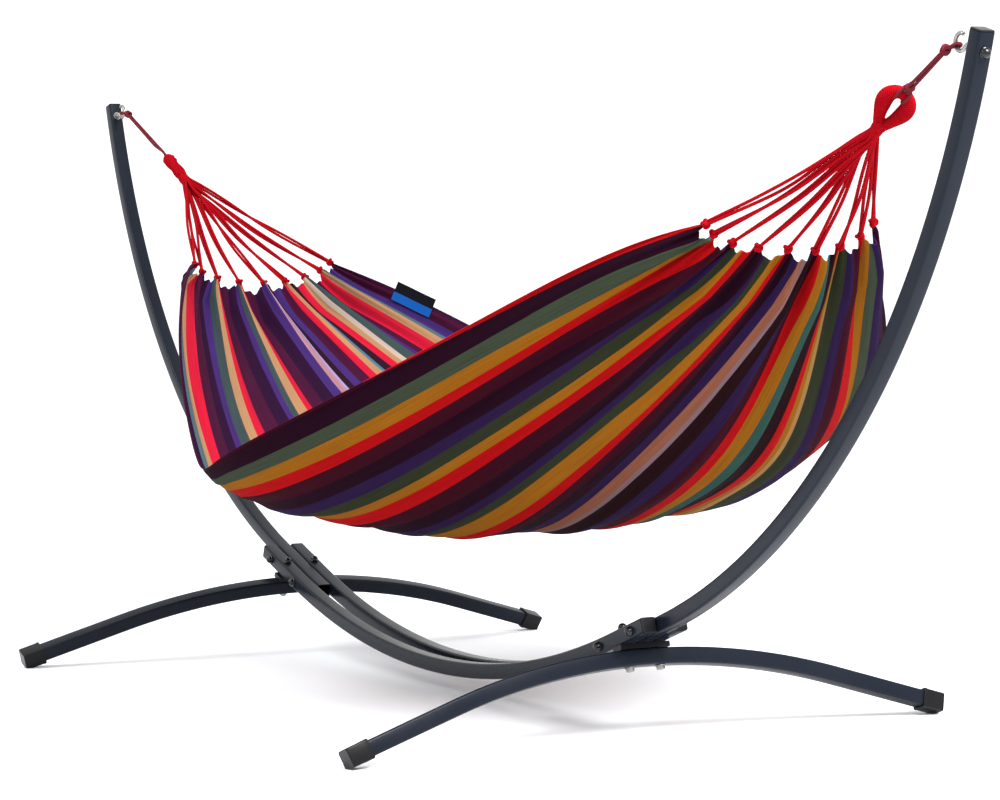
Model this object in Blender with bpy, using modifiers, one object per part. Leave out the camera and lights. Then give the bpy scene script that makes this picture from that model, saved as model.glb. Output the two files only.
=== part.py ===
"""A hammock slung between the two curved posts of a free-standing steel frame.

The frame is symmetric about the planes X = 0 and Y = 0.  X runs along the hammock, Y across it,
and Z = 0 is the floor.  The hammock's own pieces hang from the two hooks and swing about the
straight line through the hooks' seats.
"""

import math

import bmesh
import bpy
from mathutils import Matrix, Vector

# --- Driving dimensions, in metres and radians -------------------------------------------------

TUBE = 0.028                            # side of the square steel tube
WALL = 0.002                            # its wall
CORNER = 0.004                          # how far its corners are cut back
SEAT_GAP = 0.0003                       # between pieces that rest on each other

RAIL_RADIUS = 1.915                     # the lower rails' arc
RAIL_HALF_ANGLE = math.radians(19.5)
RAIL_STRAIGHT = 0.118                   # straight run beyond each end of the arc
JOINT_GAP = 0.0018                      # between a post and the rail beside it

POST_TAIL = 0.084                       # the post reaches this far back from the end of the arc
POST_STRAIGHT = 0.123
POST_RADIUS = 1.400
POST_TOP_ANGLE = math.radians(74.0)

FOOT_POSITION = 0.034                   # the foot's centre, beyond the end of the rail's arc
FOOT_RADIUS = 1.203
FOOT_HALF_ANGLE = math.radians(17.9)
FOOT_STRAIGHT = 0.215
SADDLE_HEIGHT = 0.009                   # spacer block between a foot and the rails
SADDLE_MARGIN = 0.004
FOOT_FALL = 0.0009                      # how far the arch has dropped under a foot bolt's flange

CAP_THICKNESS = 0.0030
CAP_BEVEL = 0.0008
CAP_OVERLAP = 0.0013                    # how far the cap's plug reaches into its plate
CAP_PLUG = 0.0140
PLUG_GAP = 0.0007                       # round the plug, since the tube still bends at its end

BOOT_LENGTH = 0.042
BOOT_WALL = 0.0030
BOOT_CORNER = 0.0018
BOOT_LANDING = 0.0048                   # depth of the flat that the floor cuts on each boot

BOLT_RADIUS = 0.0039
BOLT_HOLE_RADIUS = 0.0044
FLANGE_RADIUS = 0.0088
FLANGE_THICKNESS = 0.0016
HEX_ACROSS_FLATS = 0.013
HEX_HEIGHT = 0.0052
DOME_RADIUS = 0.0078
DOME_HEIGHT = 0.0100
BORE_DEPTH = 0.0066
BOLT_END_GAP = 0.0006                   # between a bolt's end and the bottom of its nut
CROSS_BOLT_POSITIONS = (-0.031, 0.080)  # along the rail, from the end of its arc

HOOK_WIRE_RADIUS = 0.0035
HOOK_RING_RADIUS = 0.013
HOOK_REACH = 0.031                      # ring centre, from the post's inner face
HOOK_BELOW_TOP = 0.028                  # the hook bolt, below the post's upper end
HOOK_MOUTH_ANGLE = math.radians(78.0)   # the open part of the ring, above the shank
HOOK_NUT_BORE = 0.0040
HOOK_NUT_HEIGHT = 0.0064

EYE_RING_RADIUS = 0.0205
EYE_CORD_RADIUS = 0.0085
EYE_STRETCH = 1.18
EYE_TWIST = math.radians(-45.0)         # the ring's turn about the line of pull
NECK_LENGTH = 0.040
NECK_RADIUS = 0.0135
NECK_OVERLAP = 0.006                    # how far the neck starts inside the ring
RIGHT_EYE = Vector((1.421, 0.0, 1.036))
LEFT_EYE = Vector((-1.287, 0.0, 0.992))

ROPE_RADIUS = 0.0024
ROPE_STRAND_OFFSET = 0.0028             # each strand of the doubled hanger rope, from its middle
ROPE_CLEARANCE = 0.0008
HOOK_CLEARANCE = 0.0016                 # round the hook's wire, where the rope turns as it swings
ROPE_POINT_SPACING = 0.0200
CORD_BEND = math.radians(24.0)          # the most a cord turns from one point to the next

STRING_RADIUS = 0.0036
STRING_COUNT = 9                        # at each end of the hammock
STRING_GRID = 0.0078                    # spacing of the strings where they leave the neck
STRING_SPREAD = 0.97                    # how much of the bed's end the strings span
STRING_SAG = 0.004
STRING_GAP = 0.0008                     # from the neck's end face
STRING_LEAVE = 0.016                    # run straight out of the neck, before they fan out
STRING_POINT_SPACING = 0.0420

BED_THICKNESS = 0.004
BED_LEFT = Vector((-0.826, 0.0, 0.743))     # middle of the gathered end
BED_RIGHT = Vector((1.129, 0.0, 0.820))
BED_LOW_Z = 0.290
BED_LEFT_POWER = 1.20                   # how steeply the bed's middle line falls from each end
BED_RIGHT_POWER = 1.45
BED_END_HALF_WIDTH = 0.154
BED_END_RISE = 0.043                    # the ends' outer corners, above their middle
BED_NEAR_WIDTH = 0.575                  # middle line to rim, at mid length, on the -Y side
BED_FAR_WIDTH = 0.577
BED_NEAR_RISE = 0.213
BED_FAR_RISE = 0.110
BED_NEAR_CURL = math.radians(87.3)      # how far the cross-section turns from middle to rim
BED_FAR_CURL = math.radians(74.4)
BED_WIDTH_POWER = 1.15
BED_RISE_POWER = 3.5
BED_DROOP = 0.055                       # how far the near rim sinks, left of the middle
BED_DROOP_PLACE = -0.22
BED_DROOP_REACH = 0.25
BED_ROUNDING = 0.12                     # softens the bed at mid length, where it is deepest
BED_CLEARANCE = 0.0015                  # between a string's end and the bed's edge

# --- Resolution ---------------------------------------------------------------------------------

ARC_STEP = math.radians(3.3)            # turn of a bent tube from one section to the next
HOLE_SEGMENTS = 12
BED_SECTIONS = 22
BED_STRIPS = 12


# --- Materials ----------------------------------------------------------------------------------

def principled(name, colour, roughness, metallic=0.0):
    """A Principled material of one colour."""
    material = bpy.data.materials.new(name)
    material.use_nodes = True
    shader = material.node_tree.nodes["Principled BSDF"]
    shader.inputs["Base Color"].default_value = (*colour, 1.0)
    shader.inputs["Roughness"].default_value = roughness
    shader.inputs["Metallic"].default_value = metallic
    material.diffuse_color = (*colour, 1.0)
    return material


def make_materials():
    """One material for each kind of piece."""
    return {
        "frame": principled("powder_coated_steel", (0.060, 0.066, 0.080), 0.32, 0.25),
        "plastic": principled("black_plastic", (0.014, 0.014, 0.015), 0.48),
        "zinc": principled("zinc_plated_steel", (0.62, 0.62, 0.60), 0.34, 1.0),
        "rope": principled("burgundy_rope", (0.105, 0.018, 0.032), 0.85),
        "cord": principled("red_cotton_cord", (0.52, 0.020, 0.026), 0.85),
        "fabric": principled("striped_cotton_fabric", (0.28, 0.10, 0.13), 0.9),
    }


# --- Collections and objects --------------------------------------------------------------------

def start_file():
    """Remove what the file holds and make the two collections."""
    for found in list(bpy.data.objects):
        bpy.data.objects.remove(found, do_unlink=True)
    parts = bpy.data.collections.new("hammock_on_stand")
    cutters = bpy.data.collections.new("cutters")
    for collection in (parts, cutters):
        bpy.context.scene.collection.children.link(collection)
    return parts, cutters


def add_part(collection, name, data, material, matrix=None):
    """Put one sub-part in its collection, with its material and its place."""
    part = bpy.data.objects.new(name, data)
    collection.objects.link(part)
    if not data.materials:
        data.materials.append(material)
    part.matrix_world = matrix or Matrix.Identity(4)
    return part


def add_cutter(collection, name, mesh, matrix):
    """Put one Boolean tool in the cutters' collection."""
    cutter = bpy.data.objects.new(name, mesh)
    collection.objects.link(cutter)
    cutter.matrix_world = matrix
    cutter.display_type = "WIRE"
    cutter.hide_render = True
    return cutter


def boolean(part, tool, operation):
    """Add one Boolean modifier with the exact solver."""
    modifier = part.modifiers.new(tool.name, "BOOLEAN")
    modifier.operation = operation
    modifier.solver = "EXACT"
    modifier.object = tool


def shade_round(mesh):
    """Shade a round piece smooth, with its real edges kept sharp."""
    mesh.shade_smooth()
    mesh.set_sharp_from_angle(angle=math.radians(35.0))


def mesh_from(name, shape):
    """Turn a finished bmesh into a mesh with its faces pointing out."""
    bmesh.ops.recalc_face_normals(shape, faces=shape.faces)
    mesh = bpy.data.meshes.new(name)
    shape.to_mesh(mesh)
    shape.free()
    return mesh


def box_mesh(name, size, centre=(0.0, 0.0, 0.0)):
    """A box of the given size about a centre."""
    shape = bmesh.new()
    bmesh.ops.create_cube(shape, size=1.0)
    bmesh.ops.scale(shape, vec=Vector(size), verts=shape.verts)
    bmesh.ops.translate(shape, vec=Vector(centre), verts=shape.verts)
    return mesh_from(name, shape)


def rod_mesh(name, radius, length):
    """A solid cylinder along Z, centred on the origin."""
    shape = bmesh.new()
    bmesh.ops.create_cone(
        shape, cap_ends=True, segments=HOLE_SEGMENTS, radius1=radius, radius2=radius, depth=length
    )
    return mesh_from(name, shape)


def turned_mesh(name, profile):
    """A solid of revolution about Z from a profile of (radius, height) points."""
    shape = bmesh.new()
    verts = [shape.verts.new((radius, 0.0, height)) for radius, height in profile]
    edges = [shape.edges.new(pair) for pair in zip(verts, verts[1:])]
    bmesh.ops.spin(
        shape, geom=verts + edges, cent=(0, 0, 0), axis=(0, 0, 1), angle=2 * math.pi, steps=HOLE_SEGMENTS
    )
    bmesh.ops.remove_doubles(shape, verts=shape.verts, dist=1e-6)
    mesh = mesh_from(name, shape)
    shade_round(mesh)
    return mesh


def frame_matrix(origin, x_axis, y_axis, z_axis):
    """A placement from an origin and three unit axes."""
    matrix = Matrix((x_axis, y_axis, z_axis)).transposed().to_4x4()
    matrix.translation = origin
    return matrix


# --- Bent square tubes --------------------------------------------------------------------------

def follow(start, heading, runs):
    """Points and headings along a flat path.

    Each run is (length, turn, radius): a straight run has no turn, and an arc has no length.
    A positive turn bends to the left of the heading.
    """
    stations = [(Vector(start), heading)]
    for length, turn, radius in runs:
        point, angle = stations[-1]
        if not turn:
            stations.append((point + length * Vector((math.cos(angle), math.sin(angle))), angle))
            continue
        side = math.copysign(1.0, turn)
        centre = point + side * radius * Vector((-math.sin(angle), math.cos(angle)))
        steps = math.ceil(abs(turn) / ARC_STEP)
        for step in range(1, steps + 1):
            now = angle + turn * step / steps
            stations.append((centre + side * radius * Vector((math.sin(now), -math.cos(now))), now))
    return stations


def section_matrix(station):
    """Place a cross-section in the XZ plane: its x across the tube on Y, its y towards the left."""
    point, angle = station
    across = Vector((0.0, 1.0, 0.0))
    left = Vector((-math.sin(angle), 0.0, math.cos(angle)))
    along = Vector((math.cos(angle), 0.0, math.sin(angle)))
    return frame_matrix(Vector((point.x, 0.0, point.y)), across, left, along)


def square_outline(side, cut):
    """The corners of a square with cut corners, in order."""
    half = side / 2
    outline = []
    for quarter in range(4):
        turn = Matrix.Rotation(quarter * math.pi / 2, 2)
        outline.append(turn @ Vector((half, cut - half)))
        outline.append(turn @ Vector((half, half - cut)))
    return outline


def sweep(name, shape, stations):
    """Carry the faces at the first station along the path, and close the far end."""
    region = list(shape.faces) + list(shape.edges)
    for before, station in zip(stations, stations[1:]):
        grown = bmesh.ops.extrude_face_region(shape, geom=region)["geom"]
        verts = [item for item in grown if isinstance(item, bmesh.types.BMVert)]
        region = [item for item in grown if not isinstance(item, bmesh.types.BMVert)]
        step = section_matrix(station) @ section_matrix(before).inverted()
        bmesh.ops.transform(shape, matrix=step, verts=verts)
    return mesh_from(name, shape)


def section_loop(shape, stations, side, cut):
    """The vertices of one square outline at the first station."""
    place = section_matrix(stations[0])
    return [shape.verts.new(place @ point.to_3d()) for point in square_outline(side, cut)]


def tube_mesh(name, stations):
    """A hollow square tube along a flat path in the XZ plane, open at both ends."""
    shape = bmesh.new()
    outer = section_loop(shape, stations, TUBE, CORNER)
    inner = section_loop(shape, stations, TUBE - 2 * WALL, CORNER - WALL * 0.6)
    for index in range(len(outer)):
        after = (index + 1) % len(outer)
        shape.faces.new((outer[index], outer[after], inner[after], inner[index]))
    return sweep(name, shape, stations)


def block_mesh(name, side, cut, low, high):
    """A square block with cut corners, from one height to another."""
    shape = bmesh.new()
    base = shape.faces.new([shape.verts.new((*point, low)) for point in square_outline(side, cut)])
    grown = bmesh.ops.extrude_face_region(shape, geom=[base])["geom"]
    verts = [item for item in grown if isinstance(item, bmesh.types.BMVert)]
    bmesh.ops.translate(shape, vec=Vector((0.0, 0.0, high - low)), verts=verts)
    return mesh_from(name, shape)


def bar_mesh(name, stations, side):
    """A solid square bar along a flat path in the XZ plane."""
    shape = bmesh.new()
    shape.faces.new(section_loop(shape, stations, side, CORNER))
    return sweep(name, shape, stations)


# --- Places on the stand ------------------------------------------------------------------------

def mirrored(side, x, y, z):
    """A point on the right (side = 1) or its mirror image on the left (side = -1)."""
    return Vector((side * x, y, z))


class Stand:
    """Where the pieces of the stand meet.  All heights count from the floor."""

    def __init__(self):
        angle = RAIL_HALF_ANGLE
        self.along = Vector((math.cos(angle), 0.0, math.sin(angle)))
        self.up = Vector((-math.sin(angle), 0.0, math.cos(angle)))
        arc_end = Vector((RAIL_RADIUS * math.sin(angle), 0.0, RAIL_RADIUS * (1 - math.cos(angle))))
        foot_drop = TUBE + SADDLE_HEIGHT + 2 * SEAT_GAP
        self.foot_end = self.foot_stations()[-1]
        crown = arc_end + FOOT_POSITION * self.along - foot_drop * self.up
        self.rail_low = -self.lowest_boot_corner(crown)
        self.arc_end = arc_end + Vector((0.0, 0.0, self.rail_low))
        self.crown = crown + Vector((0.0, 0.0, self.rail_low))
        self.rail_y = TUBE + JOINT_GAP

    @staticmethod
    def foot_stations():
        """The half of a foot on the +Y side, in the foot's own plane."""
        return follow((0.0, 0.0), 0.0, [
            (0.0, -FOOT_HALF_ANGLE, FOOT_RADIUS),
            (FOOT_STRAIGHT, 0.0, 0.0),
        ])

    def lowest_boot_corner(self, crown):
        """Height of the floor below the rails' lowest point, once the landings are cut."""
        half = TUBE / 2 + BOOT_WALL
        end, heading = self.foot_end
        drop = -end.y + BOOT_WALL * math.sin(-heading) + half * math.cos(heading)
        corner = crown.z - drop * self.up.z - half * self.along.z
        return corner + BOOT_LANDING

    def on_rail(self, side, distance, y=0.0, above=0.0):
        """A point beside the rails' straight end, at a distance beyond the arc."""
        point = self.arc_end + distance * self.along + above * self.up
        return mirrored(side, point.x, y, point.z)

    def post_stations(self):
        """The right post's path, from its lower end between the rails to its upper end."""
        back = POST_TAIL / RAIL_RADIUS
        start_angle = RAIL_HALF_ANGLE - back
        start = Vector((
            RAIL_RADIUS * math.sin(start_angle),
            self.rail_low + RAIL_RADIUS * (1 - math.cos(start_angle)),
        ))
        return follow(start, start_angle, [
            (0.0, back, RAIL_RADIUS),
            (POST_STRAIGHT, 0.0, 0.0),
            (0.0, POST_TOP_ANGLE - RAIL_HALF_ANGLE, POST_RADIUS),
        ])

    def hook_frame(self, side):
        """The hook bolt's centre in the post, its inward axis and the post's upward axis."""
        (below, _), (top, _) = self.post_stations()[-2:]
        up = Vector((top.x - below.x, 0.0, top.y - below.y)).normalized()
        inward = Vector((-up.z, 0.0, up.x))
        centre = Vector((top.x, 0.0, top.y)) - HOOK_BELOW_TOP * up
        return [mirrored(side, *vector) for vector in (centre, inward, up)]

    def hook_ring(self, side):
        """The centre of the hook's ring."""
        centre, inward, _ = self.hook_frame(side)
        return centre + (TUBE / 2 + HOOK_REACH) * inward


# --- The stand's tubes --------------------------------------------------------------------------

def drill(part, cutters, name, radius, start, end):
    """Drill one round hole through a part, from one point to another."""
    middle = (start + end) / 2
    span = end - start
    matrix = Matrix.Translation(middle) @ span.to_track_quat("Z", "X").to_matrix().to_4x4()
    boolean(part, add_cutter(cutters, name, rod_mesh(name, radius, span.length), matrix), "DIFFERENCE")


def add_rails(parts, cutters, materials, stand):
    """Two parallel rails with a long low arc and straight ends, drilled for their bolts."""
    stations = follow(
        (-stand.arc_end.x - RAIL_STRAIGHT * stand.along.x, stand.arc_end.z + RAIL_STRAIGHT * stand.along.z),
        -RAIL_HALF_ANGLE,
        [
            (RAIL_STRAIGHT, 0.0, 0.0),
            (0.0, 2 * RAIL_HALF_ANGLE, RAIL_RADIUS),
            (RAIL_STRAIGHT, 0.0, 0.0),
        ],
    )
    for name, row in (("front_lower_rail", -1), ("rear_lower_rail", 1)):
        y = row * stand.rail_y
        rail = add_part(
            parts, name, tube_mesh(name, stations), materials["frame"], Matrix.Translation((0.0, y, 0.0))
        )
        reach = Vector((0.0, TUBE, 0.0))
        for side in (-1, 1):
            for number, distance in enumerate(CROSS_BOLT_POSITIONS):
                middle = stand.on_rail(side, distance, y)
                drill(rail, cutters, f"{name}_cross_{side}_{number}", BOLT_HOLE_RADIUS,
                      middle - reach, middle + reach)
            drill(rail, cutters, f"{name}_foot_{side}", BOLT_HOLE_RADIUS,
                  stand.on_rail(side, FOOT_POSITION, y, -TUBE), stand.on_rail(side, FOOT_POSITION, y, TUBE))


def add_posts(parts, cutters, materials, stand):
    """The two curved posts, each with its lower end between the rails, and their end caps."""
    stations = stand.post_stations()
    for name, side in (("left_post", -1), ("right_post", 1)):
        turn = Matrix.Rotation(0.0 if side > 0 else math.pi, 4, "Z")
        post = add_part(parts, name, tube_mesh(name, stations), materials["frame"], turn)
        reach = Vector((0.0, TUBE, 0.0))
        for number, distance in enumerate(CROSS_BOLT_POSITIONS):
            middle = stand.on_rail(side, distance)
            drill(post, cutters, f"{name}_cross_{number}", BOLT_HOLE_RADIUS, middle - reach, middle + reach)
        centre, inward, _ = stand.hook_frame(side)
        drill(post, cutters, f"{name}_hook", BOLT_HOLE_RADIUS, centre - TUBE * inward, centre + TUBE * inward)
        cap_name = name.replace("post", "post_cap")
        cap = add_part(
            parts, cap_name, cap_mesh(cap_name), materials["plastic"], turn @ section_matrix(stations[-1])
        )
        plug = block_mesh("plug", TUBE - 2 * WALL - 2 * PLUG_GAP, CORNER, -CAP_PLUG, CAP_OVERLAP)
        boolean(cap, add_cutter(cutters, f"{cap_name}_plug", plug, cap.matrix_world), "UNION")


def cap_mesh(name):
    """A square end cap with softened edges, on the end of a tube that points along Z."""
    shape = bmesh.new()
    bmesh.ops.create_cube(shape, size=1.0)
    bmesh.ops.scale(shape, vec=Vector((TUBE, TUBE, CAP_THICKNESS)), verts=shape.verts)
    bmesh.ops.translate(shape, vec=Vector((0.0, 0.0, SEAT_GAP + CAP_THICKNESS / 2)), verts=shape.verts)
    bmesh.ops.bevel(shape, geom=shape.edges, offset=CAP_BEVEL, segments=2, affect="EDGES", profile=0.5)
    return mesh_from(name, shape)


# --- Feet, saddles and boots --------------------------------------------------------------------

def foot_matrix(stand, side):
    """The foot's own axes: path in its XZ plane, which lies across the stand and leans with the rails.

    The matrix takes the path's X to the world's Y, and its Z to the rail's upward normal.
    """
    crown = mirrored(side, *stand.crown)
    up = mirrored(side, *stand.up)
    return frame_matrix(crown, Vector((0.0, 1.0, 0.0)), up.cross(Vector((0.0, 1.0, 0.0))), up)


def add_feet(parts, cutters, materials, stand):
    """The arched cross tubes that the stand rests on, with the spacer blocks above them."""
    half = stand.foot_stations()
    end, heading = half[-1]
    stations = follow((-end.x, end.y), -heading, [
        (FOOT_STRAIGHT, 0.0, 0.0),
        (0.0, -2 * FOOT_HALF_ANGLE, FOOT_RADIUS),
        (FOOT_STRAIGHT, 0.0, 0.0),
    ])
    for name, side in (("left_foot", -1), ("right_foot", 1)):
        matrix = foot_matrix(stand, side)
        foot = add_part(parts, name, tube_mesh(name, stations), materials["frame"], matrix)
        saddle_name = name.replace("foot", "foot_saddle")
        saddle_size = (2 * stand.rail_y + TUBE + 2 * SADDLE_MARGIN, TUBE, SADDLE_HEIGHT)
        saddle_centre = (0.0, 0.0, TUBE / 2 + SEAT_GAP + SADDLE_HEIGHT / 2)
        saddle = add_part(
            parts, saddle_name, box_mesh(saddle_name, saddle_size, saddle_centre), materials["plastic"], matrix
        )
        seat = bar_mesh(f"{saddle_name}_seat", stations, TUBE + 2 * SEAT_GAP)
        boolean(saddle, add_cutter(cutters, seat.name, seat, matrix), "DIFFERENCE")
        for row in (-1, 1):
            below = stand.on_rail(side, FOOT_POSITION, row * stand.rail_y, -3 * TUBE)
            above = stand.on_rail(side, FOOT_POSITION, row * stand.rail_y, TUBE)
            for part in (foot, saddle):
                drill(part, cutters, f"{part.name}_bolt_{row}", BOLT_HOLE_RADIUS, below, above)
        for side_name, row in (("front", -1), ("rear", 1)):
            add_boot(parts, cutters, materials, f"{name}_{side_name}_boot", matrix, half[-1], row)


def add_boot(parts, cutters, materials, name, foot_place, station, row):
    """A square plastic boot over one end of a foot, with a flat landing on the floor."""
    end, heading = station
    place = section_matrix((Vector((row * end.x, end.y)), heading if row > 0 else math.pi - heading))
    outer_side = TUBE + 2 * BOOT_WALL
    outer = block_mesh(name, outer_side, BOOT_CORNER, BOOT_WALL - BOOT_LENGTH, BOOT_WALL)
    boot = add_part(parts, name, outer, materials["plastic"], foot_place @ place)
    pocket_side = TUBE + 2 * SEAT_GAP
    pocket = block_mesh(f"{name}_pocket", pocket_side, CORNER, -BOOT_LENGTH, SEAT_GAP)
    boolean(boot, add_cutter(cutters, f"{name}_pocket", pocket, boot.matrix_world), "DIFFERENCE")
    floor_size = 4 * BOOT_LENGTH
    floor = box_mesh(f"{name}_floor", (floor_size, floor_size, floor_size), (0.0, 0.0, -floor_size / 2))
    spot = boot.matrix_world.translation
    boolean(boot, add_cutter(cutters, f"{name}_floor", floor, Matrix.Translation((spot.x, spot.y, 0.0))),
            "DIFFERENCE")


# --- Bolts and nuts -----------------------------------------------------------------------------

def dome_nut_mesh():
    """A domed plastic nut that stands on Z = 0, open below for the bolt's end."""
    arc = [
        (DOME_RADIUS * math.cos(angle), FLANGE_THICKNESS + (DOME_HEIGHT - FLANGE_THICKNESS) * math.sin(angle))
        for angle in [math.radians(30.0 * step) for step in range(3)]
    ]
    profile = [(0.0, BORE_DEPTH), (BOLT_HOLE_RADIUS, BORE_DEPTH), (BOLT_HOLE_RADIUS, 0.0), (FLANGE_RADIUS, 0.0),
               (FLANGE_RADIUS, FLANGE_THICKNESS), *arc, (0.0, DOME_HEIGHT)]
    return turned_mesh("dome_nut", profile)


def bolt_mesh(name, length):
    """A flanged bolt whose shank runs up Z from the flange's seat at Z = 0."""
    profile = [(0.0, -FLANGE_THICKNESS - HEX_HEIGHT), (HEX_ACROSS_FLATS / 2, -FLANGE_THICKNESS - HEX_HEIGHT),
               (HEX_ACROSS_FLATS / 2, -FLANGE_THICKNESS), (FLANGE_RADIUS, -FLANGE_THICKNESS),
               (FLANGE_RADIUS, 0.0), (BOLT_RADIUS, 0.0), (BOLT_RADIUS, length), (0.0, length)]
    return turned_mesh(name, profile)


def add_bolt(parts, materials, name, mesh, nut_mesh, seat, direction, span):
    """A bolt through a stack of tubes, and the dome nut on its far end."""
    turn = direction.to_track_quat("Z", "X").to_matrix().to_4x4()
    add_part(parts, name, mesh, materials["zinc"], Matrix.Translation(seat - SEAT_GAP * direction) @ turn)
    far = seat + (span + SEAT_GAP) * direction
    add_part(parts, f"{name}_nut", nut_mesh, materials["plastic"], Matrix.Translation(far) @ turn)


def add_bolts(parts, materials, stand):
    """Two cross bolts and two foot bolts at each end of the rails."""
    cross_span = 2 * stand.rail_y + TUBE
    foot_span = 2 * TUBE + SADDLE_HEIGHT + 2 * SEAT_GAP + FOOT_FALL
    thread = BORE_DEPTH - 2 * SEAT_GAP - BOLT_END_GAP
    cross_mesh = bolt_mesh("cross_bolt", cross_span + thread)
    foot_mesh = bolt_mesh("foot_bolt", foot_span + thread)
    nut_mesh = dome_nut_mesh()
    for side_name, side in (("left", -1), ("right", 1)):
        for place, distance in zip(("lower", "upper"), CROSS_BOLT_POSITIONS):
            seat = stand.on_rail(side, distance, cross_span / 2)
            add_bolt(parts, materials, f"{side_name}_{place}_cross_bolt", cross_mesh, nut_mesh, seat,
                     Vector((0.0, -1.0, 0.0)), cross_span)
        for row_name, row in (("front", -1), ("rear", 1)):
            seat = stand.on_rail(side, FOOT_POSITION, row * stand.rail_y, TUBE / 2 - foot_span)
            add_bolt(parts, materials, f"{side_name}_{row_name}_foot_bolt", foot_mesh, nut_mesh, seat,
                     mirrored(side, *stand.up), foot_span)


# --- Hooks --------------------------------------------------------------------------------------

def wire(name, points, radius, closed=False):
    """A round wire or cord along a list of points, with closed ends."""
    curve = bpy.data.curves.new(name, "CURVE")
    curve.dimensions = "3D"
    curve.bevel_depth = radius
    curve.bevel_resolution = 2
    curve.use_fill_caps = not closed
    spline = curve.splines.new("POLY")
    spline.points.add(len(points) - 1)
    for target, point in zip(spline.points, points):
        target.co = (*point, 1.0)
    spline.use_cyclic_u = closed
    return curve


def solid_from(curve, matrix):
    """The curve's evaluated mesh, with its caps welded on."""
    holder = bpy.data.objects.new(curve.name, curve)
    bpy.context.scene.collection.objects.link(holder)
    holder.matrix_world = matrix
    bpy.context.view_layer.update()
    evaluated = holder.evaluated_get(bpy.context.evaluated_depsgraph_get())
    mesh = bpy.data.meshes.new_from_object(evaluated)
    bpy.data.objects.remove(holder, do_unlink=True)
    shape = bmesh.new()
    shape.from_mesh(mesh)
    bmesh.ops.remove_doubles(shape, verts=shape.verts, dist=1e-6)
    bmesh.ops.recalc_face_normals(shape, faces=shape.faces)
    shape.to_mesh(mesh)
    shape.free()
    shade_round(mesh)
    return mesh


def hook_points():
    """The hook in its own plane: X inward along the bolt, Z up along the post, origin in the post."""
    centre = Vector((TUBE / 2 + HOOK_REACH, 0.0, 0.0))
    outer_end = -(TUBE / 2 + SEAT_GAP + BORE_DEPTH - BOLT_END_GAP)
    shank_end = centre.x - HOOK_RING_RADIUS - HOOK_WIRE_RADIUS
    points = [Vector((outer_end, 0.0, 0.0)), Vector((TUBE / 2, 0.0, 0.0)), Vector((shank_end, 0.0, 0.0))]
    first = math.radians(205.0)
    last = 3 * math.pi - HOOK_MOUTH_ANGLE
    steps = 15
    for step in range(steps + 1):
        angle = first + (last - first) * step / steps
        points.append(centre + HOOK_RING_RADIUS * Vector((math.cos(angle), 0.0, math.sin(angle))))
    return points


def add_hooks(parts, materials, stand):
    """A ring hook through each post, with its flanged nut inside and its dome nut outside."""
    nut_profile = [(HOOK_NUT_BORE, 0.0), (FLANGE_RADIUS, 0.0), (FLANGE_RADIUS, FLANGE_THICKNESS),
                   (HEX_ACROSS_FLATS / 2, FLANGE_THICKNESS), (HEX_ACROSS_FLATS / 2, HOOK_NUT_HEIGHT),
                   (HOOK_NUT_BORE, HOOK_NUT_HEIGHT), (HOOK_NUT_BORE, 0.0)]
    for side_name, side in (("left", -1), ("right", 1)):
        centre, inward, up = stand.hook_frame(side)
        matrix = frame_matrix(centre, inward, up.cross(inward), up)
        curve = wire(f"{side_name}_hook", hook_points(), HOOK_WIRE_RADIUS)
        add_part(parts, f"{side_name}_hook", solid_from(curve, matrix), materials["zinc"], matrix)
        turn = inward.to_track_quat("Z", "X").to_matrix().to_4x4()
        face = TUBE / 2 + SEAT_GAP
        add_part(parts, f"{side_name}_hook_nut", turned_mesh("hook_nut", nut_profile),
                 materials["zinc"], Matrix.Translation(centre + face * inward) @ turn)
        outward = (-inward).to_track_quat("Z", "X").to_matrix().to_4x4()
        add_part(parts, f"{side_name}_hook_dome_nut", dome_nut_mesh(),
                 materials["plastic"], Matrix.Translation(centre - face * inward) @ outward)


# --- The hammock's cords ------------------------------------------------------------------------

def smooth_route(controls, spacing):
    """Points on a smooth curve through the route's own points, closer together where it bends."""
    spans = [after - before for before, after in zip(controls, controls[1:])]
    slopes = [spans[0].normalized()]
    for before, after in zip(spans, spans[1:]):
        blend = before.normalized() * after.length + after.normalized() * before.length
        slopes.append(blend / (before.length + after.length))
    slopes.append(spans[-1].normalized())
    fine = []
    for start, span, leave, arrive in zip(controls, spans, slopes, slopes[1:]):
        first = leave * span.length
        last = arrive * span.length
        for step in range(12):
            t = step / 12
            fine.append(start + first * t + (3 * span - 2 * first - last) * t ** 2
                        + (first + last - 2 * span) * t ** 3)
    fine.append(controls[-1].copy())
    points = [fine[0]]
    heading = fine[1] - fine[0]
    for before, point in zip(fine[1:], fine[2:]):
        step = point - before
        if (before - points[-1]).length >= spacing or heading.angle(step) >= CORD_BEND:
            points.append(before)
            heading = step
    points.append(fine[-1])
    return points


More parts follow.
